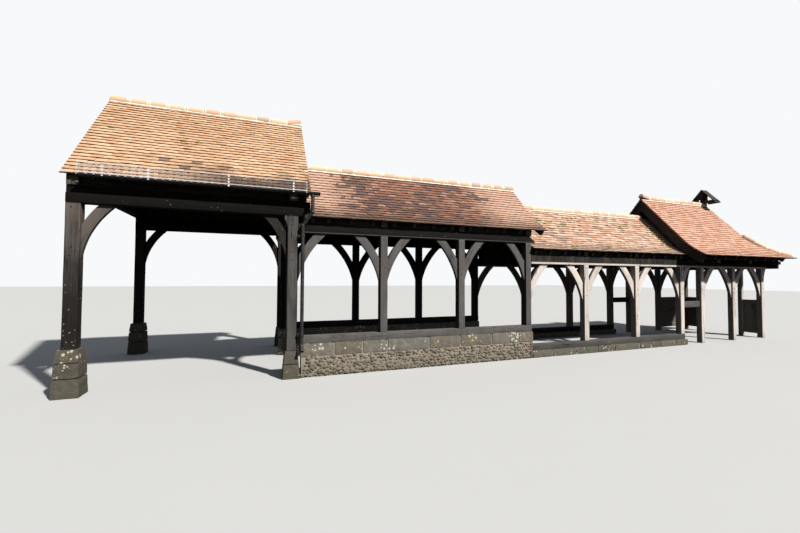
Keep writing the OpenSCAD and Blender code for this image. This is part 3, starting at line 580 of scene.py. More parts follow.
def barFaces(sides, rings):
    # The faces of a bar whose points lie in rings from one end to the other
    faces = []
    for level in range(0, sides * (rings - 1), sides):
        for k in range(sides):
            a, b = level + k, level + (k + 1) % sides
            faces.append((a, b, b + sides, a + sides))
    last = sides * (rings - 1)
    return faces + [range(sides - 1, -1, -1), range(last, last + sides)]


def ringOf(centre, way, radius, sides):
    side = way.orthogonal().normalized()
    other = way.cross(side)
    turns = [2 * math.pi / sides * k for k in range(sides)]
    return [centre + (side * math.cos(turn) + other * math.sin(turn)) * radius for turn in turns]


def makeFloorPlane():
    side = studio["floorSide"] / 2
    mesh = bpy.data.meshes.new("paleFloor")
    corners = [(-side, -side, 0), (side, -side, 0), (side, side, 0), (-side, side, 0)]
    mesh.from_pydata(corners, [], [(0, 1, 2, 3)])
    mesh.materials.append(makeFloor())
    plane = bpy.data.objects.new("paleFloor", mesh)
    bpy.context.scene.collection.objects.link(plane)


def solidOf(node):
    bm = bmesh.new()
    bm.from_mesh(cadNodes[node].data)
    bmesh.ops.remove_doubles(bm, verts=bm.verts, dist=1e-5)
    bmesh.ops.dissolve_limit(bm, angle_limit=math.radians(0.6), verts=bm.verts, edges=bm.edges)
    return bm


def looseParts(bm):
    seen, parts = set(), []
    for seed in bm.verts:
        if seed in seen:
            continue
        seen.add(seed)
        stack, part = [seed], []
        while stack:
            vert = stack.pop()
            part.append(vert)
            for edge in vert.link_edges:
                other = edge.other_vert(vert)
                if other not in seen:
                    seen.add(other)
                    stack.append(other)
        parts.append(part)
    return parts


def loosePoints(node):
    bm = solidOf(node)
    parts = [[vert.co.copy() for vert in part] for part in looseParts(bm)]
    bm.free()
    return parts


def boxOf(points):
    return tuple(Vector([limit(point[i] for point in points) for i in range(3)]) for limit in (min, max))


def inRows(boxes):
    return sorted(boxes, key=lambda box: (round(box[0].y, 2), box[0].x))


def partBoxes(node):
    return inRows(boxOf(points) for points in loosePoints(node))


def nodeRange(node, axis=0):
    low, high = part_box(node)
    return low[axis], high[axis]


# Timbers

timberWear = {
    "step": 0.16,  # distance between the cuts that let a timber wander
    "arris": 0.008,  # width of the worn arrises
    "thinArris": 0.003,  # the same on boards
    "wander": 0.0035,  # how far the faces wander, always inwards
    "hew": 0.0016,  # short waves left by hewing
    "waves": (1.7, 9.0),  # how close the two kinds of waves come, per metre
    "cutEnd": 0.012,  # how deep the mark of a cut end goes, which is paled with painted sunlight where it faces the front
    "sharp": 25,  # degrees from which an edge is an arris
    "smooth": 35,  # degrees up to which worn faces run into each other
}

timbers = {
    "path_bay_posts": ("z", "oakPathBay"), "path_bay_plates": ("x", "oakPathBay"),
    "path_bay_tie_beams": ("y", "oakRoofFrame"), "path_bay_braces": ("z", "oakPathBay"),
    "path_bay_rafters": ("y", "oakRoofFrame"), "walk_sills": ("x", "oakUpperWalk"),
    "upper_walk_posts": ("z", "oakUpperWalk"), "lower_walk_posts": ("z", "oakLowerWalk"),
    "walk_plates": ("x", "oakUpperWalk"), "walk_tie_beams": ("y", "oakRoofFrame"),
    "upper_walk_braces": ("z", "oakUpperWalk"), "lower_walk_braces": ("z", "oakLowerWalk"),
    "upper_walk_rafters": ("y", "oakRoofFrame"), "lower_walk_rafters": ("y", "oakRoofFrame"),
    "link_rails": ("x", "oakUpperWalk"), "gate_posts": ("z", "oakLowerWalk"),
    "gate_door_posts": ("z", "oakLowerWalk"), "gate_plates": ("x", "oakLowerWalk"),
    "gate_cross_beams": ("y", "oakRoofFrame"), "gate_eaves_plates": ("xy", "oakRoofFrame"),
    "gate_braces": ("z", "oakLowerWalk"), "gate_rafters": ("y", "oakRoofFrame"),
    "gate_hip_rafters": ("x", "oakRoofFrame"), "gate_bargeboards": ("y", "oakBoards"),
    "ridge_boards": ("x", "oakRoofFrame"), "gate_canopy": ("z", "oakBoards"),
}
thinTimbers = ("gate_bargeboards", "ridge_boards", "gate_canopy", "gate_low_panels")
otherOak = {  # from these places on, towards +X, a node has another oak: painted sunlight on the lower walk's plates, painted shade on the path bay's right braces
    "walk_plates": (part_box("upper_walk_posts")[1].x, "oakLowerWalk"),
    "path_bay_braces": (-1.6, "oakBracesPaintedShade"),
}


def grainLayers(bm):
    return bm.verts.layers.float_vector.new("grainPoint"), bm.verts.layers.float_color.new("pieceTone")


def longAxis(part):
    points = np.array([vert.co for vert in part])
    centred = points - points.mean(axis=0)
    values, vectors = np.linalg.eigh(centred.T @ centred)
    axis = Vector(vectors[:, -1])
    return axis if axis[max(range(3), key=lambda i: abs(axis[i]))] > 0 else -axis


def grainAndTone(bm, layers, rng, cutEnd=0.0):
    # Each loose timber has its grain along its length and a shade of its own; blue marks its cut ends
    grain, tone = layers
    for part in looseParts(bm):
        axis = longAxis(part)
        side = axis.orthogonal().normalized()
        other = axis.cross(side)
        shift = Vector([sway(rng, 40) for i in range(3)])
        shade = rng.random()
        reach = [vert.co.dot(axis) for vert in part]
        first, last = min(reach), max(reach)
        for vert, along in zip(part, reach):
            cut = abs(axis.y) > 0.5 and min(along - first, last - along) < cutEnd
            vert[grain] = Vector((along, vert.co.dot(side), vert.co.dot(other))) + shift
            vert[tone] = (shade, vert[tone][1], float(cut), 1)


def meshFrom(bm, name):
    mesh = bpy.data.meshes.new(name)
    bm.to_mesh(mesh)
    bm.free()
    return mesh


def wearTimber(node, axes, material, seed):
    rng = random.Random(seed)
    bm = solidOf(node)
    layers = grainLayers(bm)
    arris = timberWear["thinArris" if node in thinTimbers else "arris"]
    sharpest = math.radians(timberWear["sharp"])
    broadWaves, shortWaves = timberWear["waves"]
    sharp = [edge for edge in bm.edges if edge.is_manifold and edge.calc_face_angle(0) > sharpest]
    worn = bmesh.ops.bevel(bm, geom=sharp, offset=arris, segments=2, profile=0.6, affect="EDGES",
                           clamp_overlap=True)
    for vert in worn["verts"]:
        vert[layers[1]] = (0, 1, 0, 1)
    for axis in axes:
        cutAcross(bm, "xyz".index(axis), timberWear["step"])
    bm.normal_update()
    for vert in bm.verts:
        broad = noise.noise(vert.co * broadWaves + Vector((seed, 0, 0)))
        short = noise.noise(vert.co * shortWaves + Vector((0, seed, 0)))
        vert.co += vert.normal * -(abs(broad) * timberWear["wander"] + abs(short) * timberWear["hew"])
    grainAndTone(bm, layers, rng, timberWear["cutEnd"])
    mesh = meshFrom(bm, node + "Worn")
    shadeMesh(mesh, timberWear["smooth"])
    addPiece(node + "_timber", mesh, oak[material], [node])
    if node in otherOak:
        edge, other = otherOak[node]
        mesh.materials.append(oak[other])
        for face in mesh.polygons:
            face.material_index = int(face.center.x > edge)


makeFloorPlane()
for number, (node, (axes, material)) in enumerate(timbers.items(), 1):
    wearTimber(node, axes, material, number)
print("timbers worn")


# Boards in the gables and the low panels

boardLook = {
    "width": 0.17,
    "uneven": 0.12,  # share of the width by which a joint is off
    "gap": 0.004,
    "stand": 0.003,  # how far one board stands behind another
    "step": 0.25,  # distance between cuts
}


def sliceBoards(node, seed):
    # Cuts the sheet of a gable into upright boards, side by side along Y
    rng = random.Random(seed)
    source, joined = solidOf(node), bmesh.new()
    values = [vert.co.y for vert in source.verts]
    low, high, gap = min(values), max(values), boardLook["gap"] / 2
    count = max(1, round((high - low) / boardLook["width"]))
    joints = [low + (high - low) * (i + sway(rng, boardLook["uneven"])) / count for i in range(1, count)]
    edges = [low] + joints + [high]
    for left, right in zip(edges, edges[1:]):
        board = source.copy()
        for place, way in ((left + gap, -1), (right - gap, 1)):
            cutAt(board, Vector((0, place, 0)), Vector((0, way, 0)), True)
            rim = [edge for edge in board.edges if edge.is_boundary]
            if rim:
                bmesh.ops.holes_fill(board, edges=rim, sides=0)
        cutAcross(board, 2, boardLook["step"])
        setBack = rng.uniform(-boardLook["stand"], 0)
        for vert in board.verts:
            vert.co.x += setBack
        temporary = meshFrom(board, "board")
        joined.from_mesh(temporary)
        bpy.data.meshes.remove(temporary)
    source.free()
    bmesh.ops.recalc_face_normals(joined, faces=joined.faces)
    grainAndTone(joined, grainLayers(joined), rng)
    addPiece(node + "_boards", meshFrom(joined, node + "Boards"), oak["oakBoards"], [node])


for number, node in enumerate(("path_bay_gable_boards", "walk_gable_boards", "gate_gable_boards"), 61):
    sliceBoards(node, number)
wearTimber("gate_low_panels", "xy", "oakLowerWalk", 64)
print("boards cut")


# Roof tiles, one by one

tileShape = {
    "gauge": 0.1,  # height of a course along the slope
    "width": 0.165,
    "length": 0.265,
    "underLength": 0.165,  # of the short tiles under the first course
    "thickness": 0.014,
    "gap": 0.003,
    "camber": 0.005,
    "tailDepth": 0.009,  # how far the tail of a tile lies below the top of the roof
    "lapDrop": 0.0165,  # how much lower a tile lies after one gauge
    "narrowest": 0.02,
    "sliver": 0.012,  # what a trim leaves of a tile is dropped up to this width
    "foot": 0.004,  # from the eave to the first course
    "head": 0.01,  # from the ridge to the end of the topmost tiles
    "lastCourse": 0.03,  # the stretch below the ridge in which no course starts
    "battenWidth": 0.038,
    "battenThickness": 0.025,
    "battenEnd": 0.03,  # from the end of the roof
    "noBatten": 0.27,  # the stretch below the ridge without a batten
}

tileLaying = {  # how unevenly the tiles lie
    "skew": 0.006,
    "slip": 0.005,
    "slipped": (0.04, 0.014),  # share of tiles that slid, and how far
    "raised": 0.005,
    "twist": 0.002,
}


def roofLine(node, xSide):
    # (away, up) of a slab's top at one end, from the eave
    mesh = cadNodes[node].data
    points = {(round(v.co.y, 4), round(v.co.z, 4)) for v in mesh.vertices if abs(v.co.x - xSide) < 0.001}
    apex = max(points, key=lambda p: p[1])
    eave = max(points, key=lambda p: abs(p[0] - apex[0]))
    low = min(points, key=lambda p: p[1])
    middle = [p for p in points if p not in (apex, eave, low) and abs(p[0] - apex[0]) > 0.01]
    return [eave, max(middle, key=lambda p: p[1]), apex] if middle else [eave, apex]


def smoothLine(points, reach=0.22, steps=8):
    if len(points) == 2:
        return [Vector(p) for p in points]
    eave, bend, apex = (Vector(p) for p in points)
    first = bend + (eave - bend).normalized() * reach
    last = bend + (apex - bend).normalized() * reach
    shares = [i / steps for i in range(steps + 1)]
    middle = [first.lerp(bend, share).lerp(bend.lerp(last, share), share) for share in shares]
    return [eave] + middle + [apex]


def lengthsOf(points):
    # The length of a line up to each of its points
    lengths = [0.0]
    for a, b in zip(points, points[1:]):
        lengths.append(lengths[-1] + (b - a).length)
    return lengths


def follow(line, value, axis):
    # The other coordinate of a roof line where one axis has this value
    points = [Vector(p) for p in line]
    for a, b in zip(points, points[1:]):
        share = (value - a[axis]) / (b[axis] - a[axis])
        if share <= 1:
            break
    return a[1 - axis] + (b[1 - axis] - a[1 - axis]) * share


class Slope:
    # A roof surface: a line of (away, up) points that is followed from the eave, over a width
    def __init__(self, points):
        self.points = smoothLine(points)
        self.lengths = lengthsOf(self.points)
        self.length = self.lengths[-1]

    def at(self, along, depth=0.0):
        index = 0
        while index < len(self.points) - 2 and along > self.lengths[index + 1]:
            index += 1
        a, b = self.points[index], self.points[index + 1]
        way = (b - a).normalized()
        out = Vector((-way.y, way.x)) if way.x > 0 else Vector((way.y, -way.x))
        return a + way * (along - self.lengths[index]) - out * depth


def tileFaces(columns, rows):
    # The points of the top lie row by row, and those of the underside follow
    across, layer = columns + 1, (columns + 1) * (rows + 1)
    faces = []
    for row in range(rows):
        for column in range(columns):
            a = row * across + column
            b = a + layer
            faces += [(a, a + 1, a + across + 1, a + across), (b, b + across, b + across + 1, b + 1)]
    for a in range(columns):
        b = a + rows * across
        faces += [(a, a + layer, a + layer + 1, a + 1), (b, b + 1, b + layer + 1, b + layer)]
    for a in range(0, rows * across, across):
        b = a + columns
        faces += [(a, a + across, a + across + layer, a + layer),
                  (b, b + layer, b + across + layer, b + across)]
    return faces


def layTiles(roof, side, node, slope, low, high, seed, trim=None, mends=(), turned=False):
    # trim(side, away, up) keeps a side within the roof's edge, mends are (side, along) places of odd grey
    # tiles, and turned courses run along Y
    rng = random.Random(seed)
    shape, laying = tileShape, tileLaying
    heap = Heap()
    columns, rows = 3, 2
    tile = tileFaces(columns, rows)
    gauge, thickness = shape["gauge"], shape["thickness"]

    def addTile(left, right, start, length, lift):
        skew = sway(rng, laying["skew"])
        slip = sway(rng, laying["slip"])
        slip -= laying["slipped"][1] * (rng.random() < laying["slipped"][0])
        raised = rng.uniform(0, laying["raised"])
        twist = sway(rng, laying["twist"])
        tone = [rng.random(), rng.random(), start / slope.length]
        if any(left <= aside < right and start <= along < start + gauge for aside, along in mends):
            tone[1] = 2.0  # more than any share, as the mark of a mend
        grid = []
        for layer in (0, 1):
            for row in range(rows + 1):
                for column in range(columns + 1):
                    a, b = column / columns, row / rows
                    along = start + b * length + (slip + skew * (a - 0.5)) * (1 - b)
                    depth = shape["tailDepth"] + b * length / gauge * shape["lapDrop"] - lift
                    depth -= raised * (1 - b) + shape["camber"] * (1 - (2 * a - 1) ** 2) * 0.5 - 0.002
                    depth -= twist * (2 * a - 1) * (1 - b)
                    along = min(max(along, 0.0), slope.length - 0.004)
                    flat = slope.at(along, max(depth + layer * thickness, 0.001))
                    aside = left + a * (right - left)
                    grid.append((trim(aside, *slope.at(along)) if trim else aside, flat.x, flat.y))
        sides = [point[0] for point in grid]
        if max(sides) - min(sides) < shape["sliver"]:
            return
        if turned:
            grid = [(away, aside, up) for aside, away, up in grid]
        across, under = columns + 1, len(grid) // 2
        shades = [0.85] * across + [1.0] * (under - across) + [0.0] * under
        heap.add(grid, tile, [(*tone, shade) for shade in shades])

    wide = high - low
    pitch = wide / round(wide / shape["width"])
    for course in range(-1, int((slope.length - shape["lastCourse"]) / gauge) + 1):
        # A course of short tiles lies under the first one
        start = max(course, 0) * gauge + shape["foot"]
        length = shape["underLength" if course < 0 else "length"]
        length = min(length, slope.length - start - shape["head"])
        for i in range(math.ceil(wide / shape["width"]) + 2):
            left = low + (i - course % 2 * 0.5) * pitch
            right = left + pitch - shape["gap"]
            if right - low >= shape["narrowest"] and high - left >= shape["narrowest"]:
                addTile(max(left, low), min(right, high), start, length, -thickness if course < 0 else 0.0)
    heap.place(roof + side + "Tiles", clay[roof + "RoofClay"], roof + "_roof_tiles", [node], outward=True)


def tileRoof(roof, prefix, seed, lineEnd=0, frontTrim=None, backTrim=None, mends=(), beyond=0.0):
    # Gives the roof's ends and slopes; the tiles go on beyond its end where another roof covers them
    slopes = []
    for side, trim, spots in (("Front", frontTrim, mends), ("Back", backTrim, ())):
        node = f"{prefix}_{side.lower()}_tiles"
        ends = nodeRange(node)
        slope = Slope(roofLine(node, ends[lineEnd]))
        layTiles(roof, side, node, slope, ends[0], ends[1] + beyond, seed + len(slopes), trim, spots)
        slopes.append(slope)
    return *ends, slopes


skirtShape = {
    "pitch": 37.0,  # degrees, as in the part's source
    "footPitch": 24.0,
    "footRun": 0.56,
}


def skirtLine():
    low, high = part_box("gate_end_tiles")
    eaveZ = gateFrontLine[0][1]
    bendX = high.x - skirtShape["footRun"]
    bendZ = eaveZ + skirtShape["footRun"] * math.tan(math.radians(skirtShape["footPitch"]))
    topZ = bendZ + (bendX - low.x) * math.tan(math.radians(skirtShape["pitch"]))
    return [(high.x, eaveZ), (bendX, bendZ), (low.x, topZ)]


gateFrontLine = roofLine("gate_front_tiles", nodeRange("gate_front_tiles")[0])
gateBackLine = roofLine("gate_back_tiles", nodeRange("gate_back_tiles")[0])
streetLine = skirtLine()
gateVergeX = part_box("ridge_tiles")[1].x
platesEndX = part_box("path_bay_plates")[1].x + 0.005


def upperTrim(side, away, up):
    # The lowest courses stop at the end of the path bay's front plate
    return max(side, platesEndX) if away < 0.1 else side


def gateTrim(side, away, up):
    return min(side, gateVergeX if up > streetLine[-1][1] else follow(streetLine, up, 1))


def skirtTrim(side, away, up):
    return min(max(side, follow(gateFrontLine, up, 1)), follow(gateBackLine, up, 1))


roofs = {
    "path": tileRoof("path", "path_bay", 101, mends=((-2.1, 0.68), (-1.56, 0.66), (-1.74, 0.45))),
    "upper": tileRoof("upper", "upper_walk", 111, 1, upperTrim),
    "lower": tileRoof("lower", "lower_walk", 121, beyond=0.55),
    "gate": tileRoof("gate", "gate", 131, 0, gateTrim, gateTrim),
}
layTiles("gate", "End", "gate_end_tiles", Slope(streetLine), *nodeRange("gate_end_tiles", 1), 133, skirtTrim,
         turned=True)
print("roofs tiled")


# Ridge and hip tiles in mortar

ridgeShape = {
    "tile": 0.335,  # length of one ridge tile
    "joint": 0.03,
    "thickness": 0.014,
    "radius": 0.0795,
    "drop": 0.02,  # how far its middle lies below the apex
    "wobble": (0.003, 0.004),  # aside and down
    "ends": 0.004,  # from the verge
    "endLength": 0.33,  # the tile turned up at an open end
    "endRise": 0.068,
    "hipRadius": 0.085,
    "hipTaper": 0.12,
    "hipDrop": 0.035,
    "hipFoot": 0.24,  # share of its lowest stretch that a hip leaves free
    "segments": 14,
    "sweep": 236.0,  # degrees of arc, the rest is buried
    "smooth": 40,  # degrees
    "beadSteps": 0.05,
    "beadWidth": 0.016,
    "beadHeight": 0.02,
    "beadEnds": 0.02,  # from the verge
    "jointFill": (0.9, 2.2, 0.0008, 0.03),  # out and in, as shares of half a joint, proud and thick
    "endFill": (0.01, 0.006, 0.004),  # in an open end: behind its rim, below the tile, hollow
}


def arcPoints(centre, side, up, radius):
    start = math.radians(90 + ridgeShape["sweep"] / 2)
    step = math.radians(ridgeShape["sweep"]) / ridgeShape["segments"]
    return [centre + side * math.cos(start - i * step) * radius + up * math.sin(start - i * step) * radius
            for i in range(ridgeShape["segments"] + 1)]


def addTube(heap, tone, a, b, side, up, radiusA, radiusB, thickness):
    points = []
    for less in (0, thickness):
        points += arcPoints(a, side, up, radiusA - less) + arcPoints(b, side, up, radiusB - less)
    n = ridgeShape["segments"] + 1
    faces = [(i, n + i, 3 * n + i, 2 * n + i) for i in (0, n - 1)]
    for i in range(n - 1):
        faces += [(i, i + 1, n + i + 1, n + i), (2 * n + i, 3 * n + i, 3 * n + i + 1, 2 * n + i + 1),
                  (i, 2 * n + i, 2 * n + i + 1, i + 1), (n + i, n + i + 1, 3 * n + i + 1, 3 * n + i)]
    heap.add(points, faces, tone)


def walkAlong(path, spacing):
    # Evenly spaced points on a path, with the number of pieces rounded
    lengths = lengthsOf(path)
    count = max(1, round(lengths[-1] / spacing))
    marks = []
    for i in range(count + 1):
        target = lengths[-1] * i / count
        index = max(k for k in range(len(path) - 1) if lengths[k] <= target + 1e-9)
        share = (target - lengths[index]) / (lengths[index + 1] - lengths[index])
        marks.append(path[index].lerp(path[index + 1], share))
    return marks


def capRun(name, marks, radius, seed, taper=0.0):
    # Half-round tiles from mark to mark, with white joints and filled ends
    rng = random.Random(seed)
    tiles, joints = Heap(), Heap()
    gap = ridgeShape["joint"] / 2
    aside, down = ridgeShape["wobble"]
    outwards, inwards, proud, thick = ridgeShape["jointFill"]
    behind, below, hollow = ridgeShape["endFill"]
    for i, (a, b) in enumerate(zip(marks, marks[1:])):
        way = (b - a).normalized()
        side = way.cross(Vector((0, 0, 1))).normalized()
        up = side.cross(way)
        tone = (rng.random(), rng.random(), 0.9, 1)
        wobble = side * sway(rng, aside) + up * rng.uniform(-down, 0)
        addTube(tiles, tone, a + way * gap + wobble, b - way * gap + wobble, side, up,
                radius * (1 - taper), radius, ridgeShape["thickness"])
        grit = (0.05, rng.random() * 0.4, 0.5, 1)
        for end, turn, outer in ((a, 1, i == 0), (b, -1, i == len(marks) - 2)):
            near = end + way * turn * (behind if outer else -gap * outwards)
            far = end + way * turn * gap * inwards
            thin = radius - (below if outer else -proud)
            addTube(joints, grit, near, far, side, up, thin, thin, thin - hollow if outer else thick)
    smooth = ridgeShape["smooth"]
    cap = tiles.place(name + "Tiles", clay["ridgeClay"], "ridge_clay", smooth=smooth, outward=True)
    joints.place(name + "Mortar", stone["whiteMortar"], "ridge_clay", smooth=smooth, outward=True)
    return cap


def mortarBead(heap, path, side, rng):
    # A rough fillet of mortar along a path, wider and narrower by turns
    points, tones = [], []
    marks = walkAlong(path, ridgeShape["beadSteps"])
    width = ridgeShape["beadWidth"]
    for mark in marks:
        grow = 0.75 + 0.5 * noise.noise(mark * 14)
        rise = Vector((0, 0, ridgeShape["beadHeight"] * grow))
        points += [mark - side * width * 0.2, mark + side * width * grow,
                   mark + side * width * 0.3 * grow + rise, mark + rise]
        tones += [(0.05, rng.random() * 0.4, 0.5, 1)] * 4
    heap.add(points, barFaces(4, len(marks)), tones)


def capRidges():
    rng = random.Random(7)
    beads = Heap()
    shape = ridgeShape
    turned, raised = Vector((shape["endLength"], 0, 0)), Vector((0, 0, shape["endRise"]))
    for seed, (name, (low, high, slopes)) in enumerate(roofs.items(), 200):
        high = min(high, gateVergeX) if name == "gate" else high
        bend, apex = slopes[0].points[-2:]
        level = apex.y - shape["drop"]
        start, end = (Vector((x, apex.x, level)) for x in (low + shape["ends"], high - shape["ends"]))
        if name == "path":
            marks = walkAlong([start, end - turned], shape["tile"]) + [end + raised]
            # Mortar fills the space below the tile that is turned up
            inner = shape["radius"] * 0.95
            addTube(beads, (0.2, 0.5, 0.5, 1), end - turned, end - turned * 0.04 + raised * 0.3,
                    Vector((0, 1, 0)), Vector((0, 0, 1)), inner, inner, 0.04)
        elif name == "gate":
            marks = [start + raised] + walkAlong([start + turned, end], shape["tile"])
        else:
            marks = walkAlong([start, end], shape["tile"])
        cap = capRun(name + "Ridge", marks, shape["radius"], seed)
        if name == "path":
            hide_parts("ridge_tiles")
        pitch = (apex - bend).normalized()
        fall = pitch.y / abs(pitch.x)
        out = shape["radius"] * 0.86
        for way in (-1, 1):
            foot = Vector((0, way * out, -out * fall - 0.004))
            ends = (low + shape["beadEnds"], high - shape["beadEnds"])
            edge = [Vector((x, apex.x, apex.y)) + foot for x in ends]
            mortarBead(beads, edge, Vector((0, way, -fall)).normalized(), rng)
    beads.place("ridgeBedding", stone["whiteMortar"], "ridge_clay")


def capHips():
    for name, line, seed in (("frontHip", gateFrontLine, 221), ("backHip", gateBackLine, 222)):
        foot, top = streetLine[0][1], streetLine[2][1]
        heights = sorted({foot, streetLine[1][1], top, line[1][1]})
        path = [Vector((follow(streetLine, up, 1), follow(line, up, 1), up - ridgeShape["hipDrop"]))
                for up in heights if foot <= up <= top]
        path[0] = path[0].lerp(path[1], ridgeShape["hipFoot"])
        marks = walkAlong(path, ridgeShape["tile"])
        capRun(name, marks, ridgeShape["hipRadius"], seed, ridgeShape["hipTaper"])


capRidges()
capHips()
print("ridges and hips capped")


# Battens that the tiles hang on

def makeBattens():
    battens = Heap()
    rng = random.Random(31)
    shape = tileShape
    thick, wide, inset = shape["battenThickness"], shape["battenWidth"], shape["battenEnd"]
    depth = shape["tailDepth"] + shape["length"] / shape["gauge"] * shape["lapDrop"]
    depth += shape["thickness"]
    for name, (low, high, slopes) in roofs.items():
        for slope in slopes:
            count = int((slope.length - shape["noBatten"]) / shape["gauge"]) + 1
            for course in range(count):
                along = course * shape["gauge"] + shape["length"] - wide
                left, right = low + inset, high - inset
                if name == "gate":
                    right = gateTrim(high, *slope.at(along)) - inset
                if slope is roofs["upper"][2][0]:
                    left = upperTrim(left, *slope.at(along))
                corners = [slope.at(along + a, d) for a, d in
                           ((0, depth), (wide, depth), (wide, depth + thick), (0, depth + thick))]
                points = [(x, p.x, p.y) for x in (left, right) for p in corners]
                battens.add(points, barFaces(4, 2), (rng.random(), 0, 0, 1))
    battens.place("roofBattens", oak["oakRoofFrame"], "weathered_oak", grain=(0, 1, 2))


makeBattens()
print("battens fixed")


# Boards that close the eaves, standing on the plates between the rafters

eavesShape = {
    "thickness": 0.016,
    "under": 0.045,  # below the top of the roof
    "sunk": 0.03,  # below the top of the plate
    "inset": 0.06,  # from the ends of the plate, twice as much at the street end
    "canopy": (0.01, 0.02, 0.06),  # from the ends, the top and the foot of the canopy
    "step": 0.5,  # distance between cuts
}


def closeEaves():
    boards = Heap()
    rng = random.Random(36)

    def addBoard(a, b, height, bottom):
        # a and b are the two ends of the board's middle line
        side = Vector((b - a).yx).normalized() * eavesShape["thickness"] / 2
        top = height - eavesShape["under"]
        points = [(end.x - side.x * way, end.y + side.y * way, up) for end in (a, b)
                  for way, up in ((-1, bottom), (-1, top), (1, top), (1, bottom))]
        boards.add(points, barFaces(4, 2), (rng.random(), 0, 0, 1))

    inset = eavesShape["inset"]
    walkEnd = roofs["upper"][1]
    for node in ("path_bay_plates", "walk_plates", "gate_eaves_plates"):
        for low, high in partBoxes(node):
            middle = (low + high) / 2
            if high.x - low.x < 1:
                height = follow(streetLine, middle.x, 0)
                ends = Vector((middle.x, low.y + inset * 2)), Vector((middle.x, high.y - inset * 2))
            else:
                walk = "upper" if middle.x < walkEnd else "lower"
                roof = {"path_bay_plates": "path", "gate_eaves_plates": "gate"}.get(node, walk)
                height = follow(roofs[roof][2][0 if middle.y < 1 else 1].points, middle.y, 0)
                ends = Vector((low.x + inset, middle.y)), Vector((high.x - inset, middle.y))
            addBoard(*ends, height, high.z - eavesShape["sunk"])
    low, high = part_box("gate_canopy")
    middle = (low + high) / 2
    aside, below, above = eavesShape["canopy"]
    addBoard(Vector((low.x + aside, middle.y)), Vector((high.x - aside, middle.y)), high.z - below,
             low.z + above)
    boards.place("eavesBoards", oak["oakBoards"], "weathered_oak", grain=(0, 1, 2), step=eavesShape["step"])


closeEaves()


# Stone pads, block walls and flint work

stoneShape = {
    "course": 0.235,  # height of the squared blocks under the sills
    "blockLengths": (0.42, 0.95),
    "shortest": 0.35,
    "joint": 0.012,
    "round": 0.014,
    "roughness": 0.007,
    "inset": 0.016,  # of the mortar between the flints
    "flint": 0.07,  # spacing of the flints
    "flintSizes": (0.02, 0.046),
    "flintShapes": ((0.9, 1.4), 0.55, (0.7, 1.1)),  # along, through and up, as shares of the size
    "rowShift": 0.37,  # share of the spacing by which a row is shifted
    "scatter": (0.022, 0.018),  # along and up
    "batter": 0.03,  # how far a pad leans in over its height
    "lowPad": 0.65,  # up to this height a pad has two blocks, else three
    "padShares": ((0, 0.52, 1), (0, 0.4, 0.72, 1)),  # where the blocks of a low and a high pad meet
    "padJoint": 0.004,
    "padTop": 0.012,  # how much the topmost block leans in besides
    "mortarEdge": 0.01,  # of the mortar behind the ends and the blocks of a wall
    "cells": (0.07, 0.12),  # of the blocks and of the mortar, between the points that roughness moves
    "waves": (7, 23),  # how close the hollows and the fine marks of a block come, per metre
}


def addBlock(heap, low, high, seed, lean=0.0, cell=stoneShape["cells"][0]):
    # A squared block with worn arrises; lean is how far its sides stand out at its top
    rng = random.Random(seed)
    centre, half = (low + high) / 2, (high - low) / 2
    counts = [max(2, min(9, round(2 * half[i] / cell))) for i in range(3)]
    tone = (rng.random() ** 1.5, rng.random() ** 2, 0.5, 1)
    worn, rough, (coarseWaves, fineWaves) = (stoneShape[key] for key in ("round", "roughness", "waves"))
    points, faces, index = [], [], {}

    def corner(key):
        if key not in index:
            raw = Vector([(2 * n / counts[axis] - 1) * half[axis] for axis, n in enumerate(key)])
            inner = Vector([max(-half[a] + worn, min(half[a] - worn, raw[a])) for a in range(3)])
            off = raw - inner
            if off.length > 0:
                raw = inner + off.normalized() * min(off.length, worn)
            out = lean * (raw.z + half.z) / (2 * half.z)
            raw.x *= (half.x + out) / half.x
            raw.y *= (half.y + out) / half.y
            place = centre + raw
            broad = noise.noise(place * coarseWaves + Vector((seed, 0, 0)))
            fine = noise.noise(place * fineWaves)
            inward = raw.normalized() * (abs(broad) * rough * 2 + abs(fine) * rough * 0.7)
            if low.z < 0.001 and raw.z < -half.z + 0.001:
                inward.z = 0
            index[key] = len(points)
            points.append(place - inward)
        return index[key]

    for axis in range(3):
        b, c = (axis + 1) % 3, (axis + 2) % 3
        for side in (0, counts[axis]):
            for i in range(counts[b]):
                for j in range(counts[c]):
                    quad = []
                    for di, dj in ((0, 0), (1, 0), (1, 1), (0, 1)):
                        key = [side] * 3
                        key[b], key[c] = i + di, j + dj
                        quad.append(corner(tuple(key)))
                    faces.append(quad if side else quad[::-1])
    heap.add(points, faces, tone)


def flintTemplate():
    bm = bmesh.new()
    bmesh.ops.create_icosphere(bm, subdivisions=2, radius=1)
    points = [vert.co.copy() for vert in bm.verts]
    faces = [tuple(vert.index for vert in face.verts) for face in bm.faces]
    bm.free()
    return points, faces


def addPebble(heap, template, centre, size, squash, seed):
    rng = random.Random(seed)
    angle, axis = rng.uniform(0, 6.3), Vector([sway(rng, 1) for i in range(3)])
    turn = Matrix.Rotation(angle, 3, axis.normalized())
    grown = Vector([rng.uniform(0.75, 1.25) for i in range(3)])
    tone = (rng.random(), rng.random() ** 2, 0.5, 1)
    points = []
    for point in template[0]:
        lump = 1 + 0.3 * noise.noise(point * 1.8 + Vector((seed * 3.1, 0, 0)))
        shaped = turn @ Vector([point[i] * grown[i] * lump for i in range(3)])
        points.append(centre + Vector([shaped[i] * squash[i] for i in range(3)]) * size)
    heap.add(points, template[1], tone)


